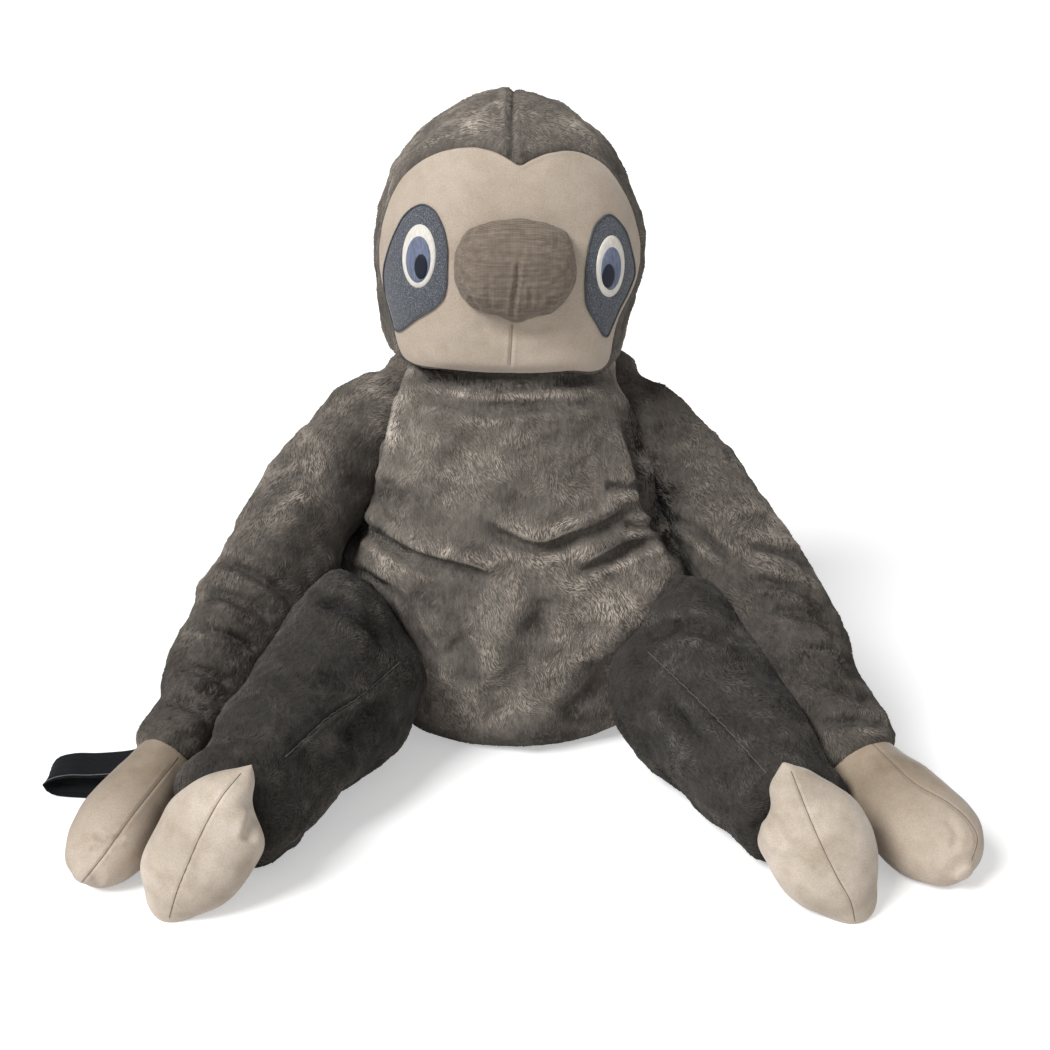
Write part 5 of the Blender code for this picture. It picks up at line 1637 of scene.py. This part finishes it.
def body_keep(root, normal, turn, row):
    polar = np.linalg.norm(root - DOME_CENTRE, axis=-1)
    under_head = (root[:, 2] > 0.374) & (polar < COLLAR_RADIUS + 0.002)
    return (root[:, 2] > ROOTS_FLOOR) & ~under_head


def hood_keep(root, normal, turn, row):
    r = np.clip(row.round().astype(int), 0, signed.shape[0] - 1)
    t = turn.round().astype(int) % signed.shape[1]
    polar = np.linalg.norm(root - DOME_CENTRE, axis=-1)
    return (signed[r, t] < -0.0008) & (polar > BOWL_RADIUS + 0.004)


def hood_length(root):
    """Shorter beside the face, where the edge is clipped."""
    gap = np.full(len(root), 9.0)
    for place in face_points[-1]:
        gap = np.minimum(gap, ((root - place) ** 2).sum(-1))
    return 0.0032 + 0.001 * smoothstep(0.003, 0.014, np.sqrt(gap))


BODY_LINE = (0.25, 0.0, -1.0)
pile(
    "torso_pile", torso, 1.0, even(0.0044), steady(BODY_LINE), BODY_LINE, body_keep, 41, BODY_PILE,
    BODY_PAINTED_SHADING, riding("torso"),
)
pile(
    "hood_pile", hood, 0.95, hood_length, hood_flow, (0.6, 0.3, -0.8), hood_keep, 42, HOOD_PILE, HOOD_PAINTED_SHADING,
    riding("head"),
)
for name, side in SIDES.items():
    shoulder, wrist = mirrored(SHOULDER, side), mirrored(WRIST, side)
    line = unit(wrist - shoulder)
    dress = bending()
    pile(
        "sleeve_pile_" + name, limbs["sleeve_" + name], 1.35, even(0.0046), steady(line), line,
        outside_torso, 43, SHADED_ARM_PILE, ARM_PAINTED_SHADING, dress,
    )
    hip, ankle = mirrored(HIP, side), mirrored(ANKLE, side)
    line = unit(ankle - hip)
    dress = bending()
    pile(
        "leg_pile_" + name, limbs["leg_" + name], 1.6, even(0.0045), steady(line), line,
        outside_torso, 44, SHADED_LEG_PILE, LEG_PAINTED_SHADING, dress,
    )

    leg_seam = seen_line(tree_of(limbs["leg_" + name]), LEG_SEAMS[name], 0.0009)
    dress(tube("leg_seam_" + name, leg_seam, 0.00038, LEG_THREAD))

# Floor, light and camera


def camera_share(tree):
    """One for rays that the camera, a gloss or a clear surface sends, and nought for the rest."""
    path = tree.nodes.new("ShaderNodeLightPath")
    either = tree.nodes.new("ShaderNodeMath")
    either.operation = "MAXIMUM"
    tree.links.new(path.outputs["Is Camera Ray"], either.inputs[0])
    tree.links.new(path.outputs["Is Glossy Ray"], either.inputs[1])
    every = tree.nodes.new("ShaderNodeMath")
    every.operation = "MAXIMUM"
    tree.links.new(either.outputs[0], every.inputs[0])
    tree.links.new(path.outputs["Is Transmission Ray"], every.inputs[1])
    return every.outputs[0]


floor_mesh = bpy.data.meshes.new("floor")
reach = 30.0
floor_mesh.from_pydata(
    [(-reach, -reach, 0), (reach, -reach, 0), (reach, reach, 0), (-reach, reach, 0)], [], [(0, 1, 2, 3)]
)
floor = bpy.data.objects.new("floor", floor_mesh)
bpy.context.scene.collection.objects.link(floor)
floor_look = bpy.data.materials.new("white_floor")
floor_look.use_nodes = True
tree = floor_look.node_tree
tree.nodes.clear()
diffuse = tree.nodes.new("ShaderNodeBsdfDiffuse")
diffuse.inputs["Color"].default_value = (0.85, 0.85, 0.85, 1)
glow = tree.nodes.new("ShaderNodeEmission")
glow.inputs["Color"].default_value = (0.42, 0.42, 0.42, 1)
tree.links.new(camera_share(tree), glow.inputs["Strength"])
both = tree.nodes.new("ShaderNodeAddShader")
tree.links.new(diffuse.outputs[0], both.inputs[0])
tree.links.new(glow.outputs[0], both.inputs[1])
tree.links.new(both.outputs[0], tree.nodes.new("ShaderNodeOutputMaterial").inputs["Surface"])
floor_mesh.materials.append(floor_look)

world = bpy.data.worlds.new("studio")
world.use_nodes = True
bpy.context.scene.world = world
tree = world.node_tree
tree.nodes.clear()
light = tree.nodes.new("ShaderNodeBackground")
light.inputs["Color"].default_value = (1.0, 1.0, 1.0, 1)
light.inputs["Strength"].default_value = 0.33
white = tree.nodes.new("ShaderNodeBackground")
white.inputs["Color"].default_value = (1.0, 1.0, 1.0, 1)
white.inputs["Strength"].default_value = 1.0
chosen = tree.nodes.new("ShaderNodeMixShader")
tree.links.new(camera_share(tree), chosen.inputs[0])
tree.links.new(light.outputs[0], chosen.inputs[1])
tree.links.new(white.outputs[0], chosen.inputs[2])
tree.links.new(chosen.outputs[0], tree.nodes.new("ShaderNodeOutputWorld").inputs["Surface"])


def sun(name, place, spread, strength):
    data = bpy.data.lights.new(name, "SUN")
    data.angle = math.radians(spread)
    data.energy = strength
    obj = bpy.data.objects.new(name, data)
    obj.location = place
    obj.rotation_euler = (-Vector(place)).to_track_quat("-Z", "Y").to_euler()
    bpy.context.scene.collection.objects.link(obj)


sun("key_light", (-0.75, -0.72, 1.0), 22.0, 2.85)
sun("fill_light", (0.8, -0.9, 0.7), 70.0, 0.2)

camera_data = bpy.data.cameras.new("photo_camera")
camera_data.sensor_fit = "HORIZONTAL"
camera_data.sensor_width = 36.0
camera_data.lens = FOCAL_PIXELS / PHOTO_SIZE * 36.0
camera_data.clip_start = 0.05
camera = bpy.data.objects.new("photo_camera", camera_data)
camera.location = EYE
camera.rotation_euler = Vector(FORWARD).to_track_quat("-Z", "Y").to_euler()
bpy.context.scene.collection.objects.link(camera)
bpy.context.scene.camera = camera
bpy.context.scene.view_settings.view_transform = "Standard"
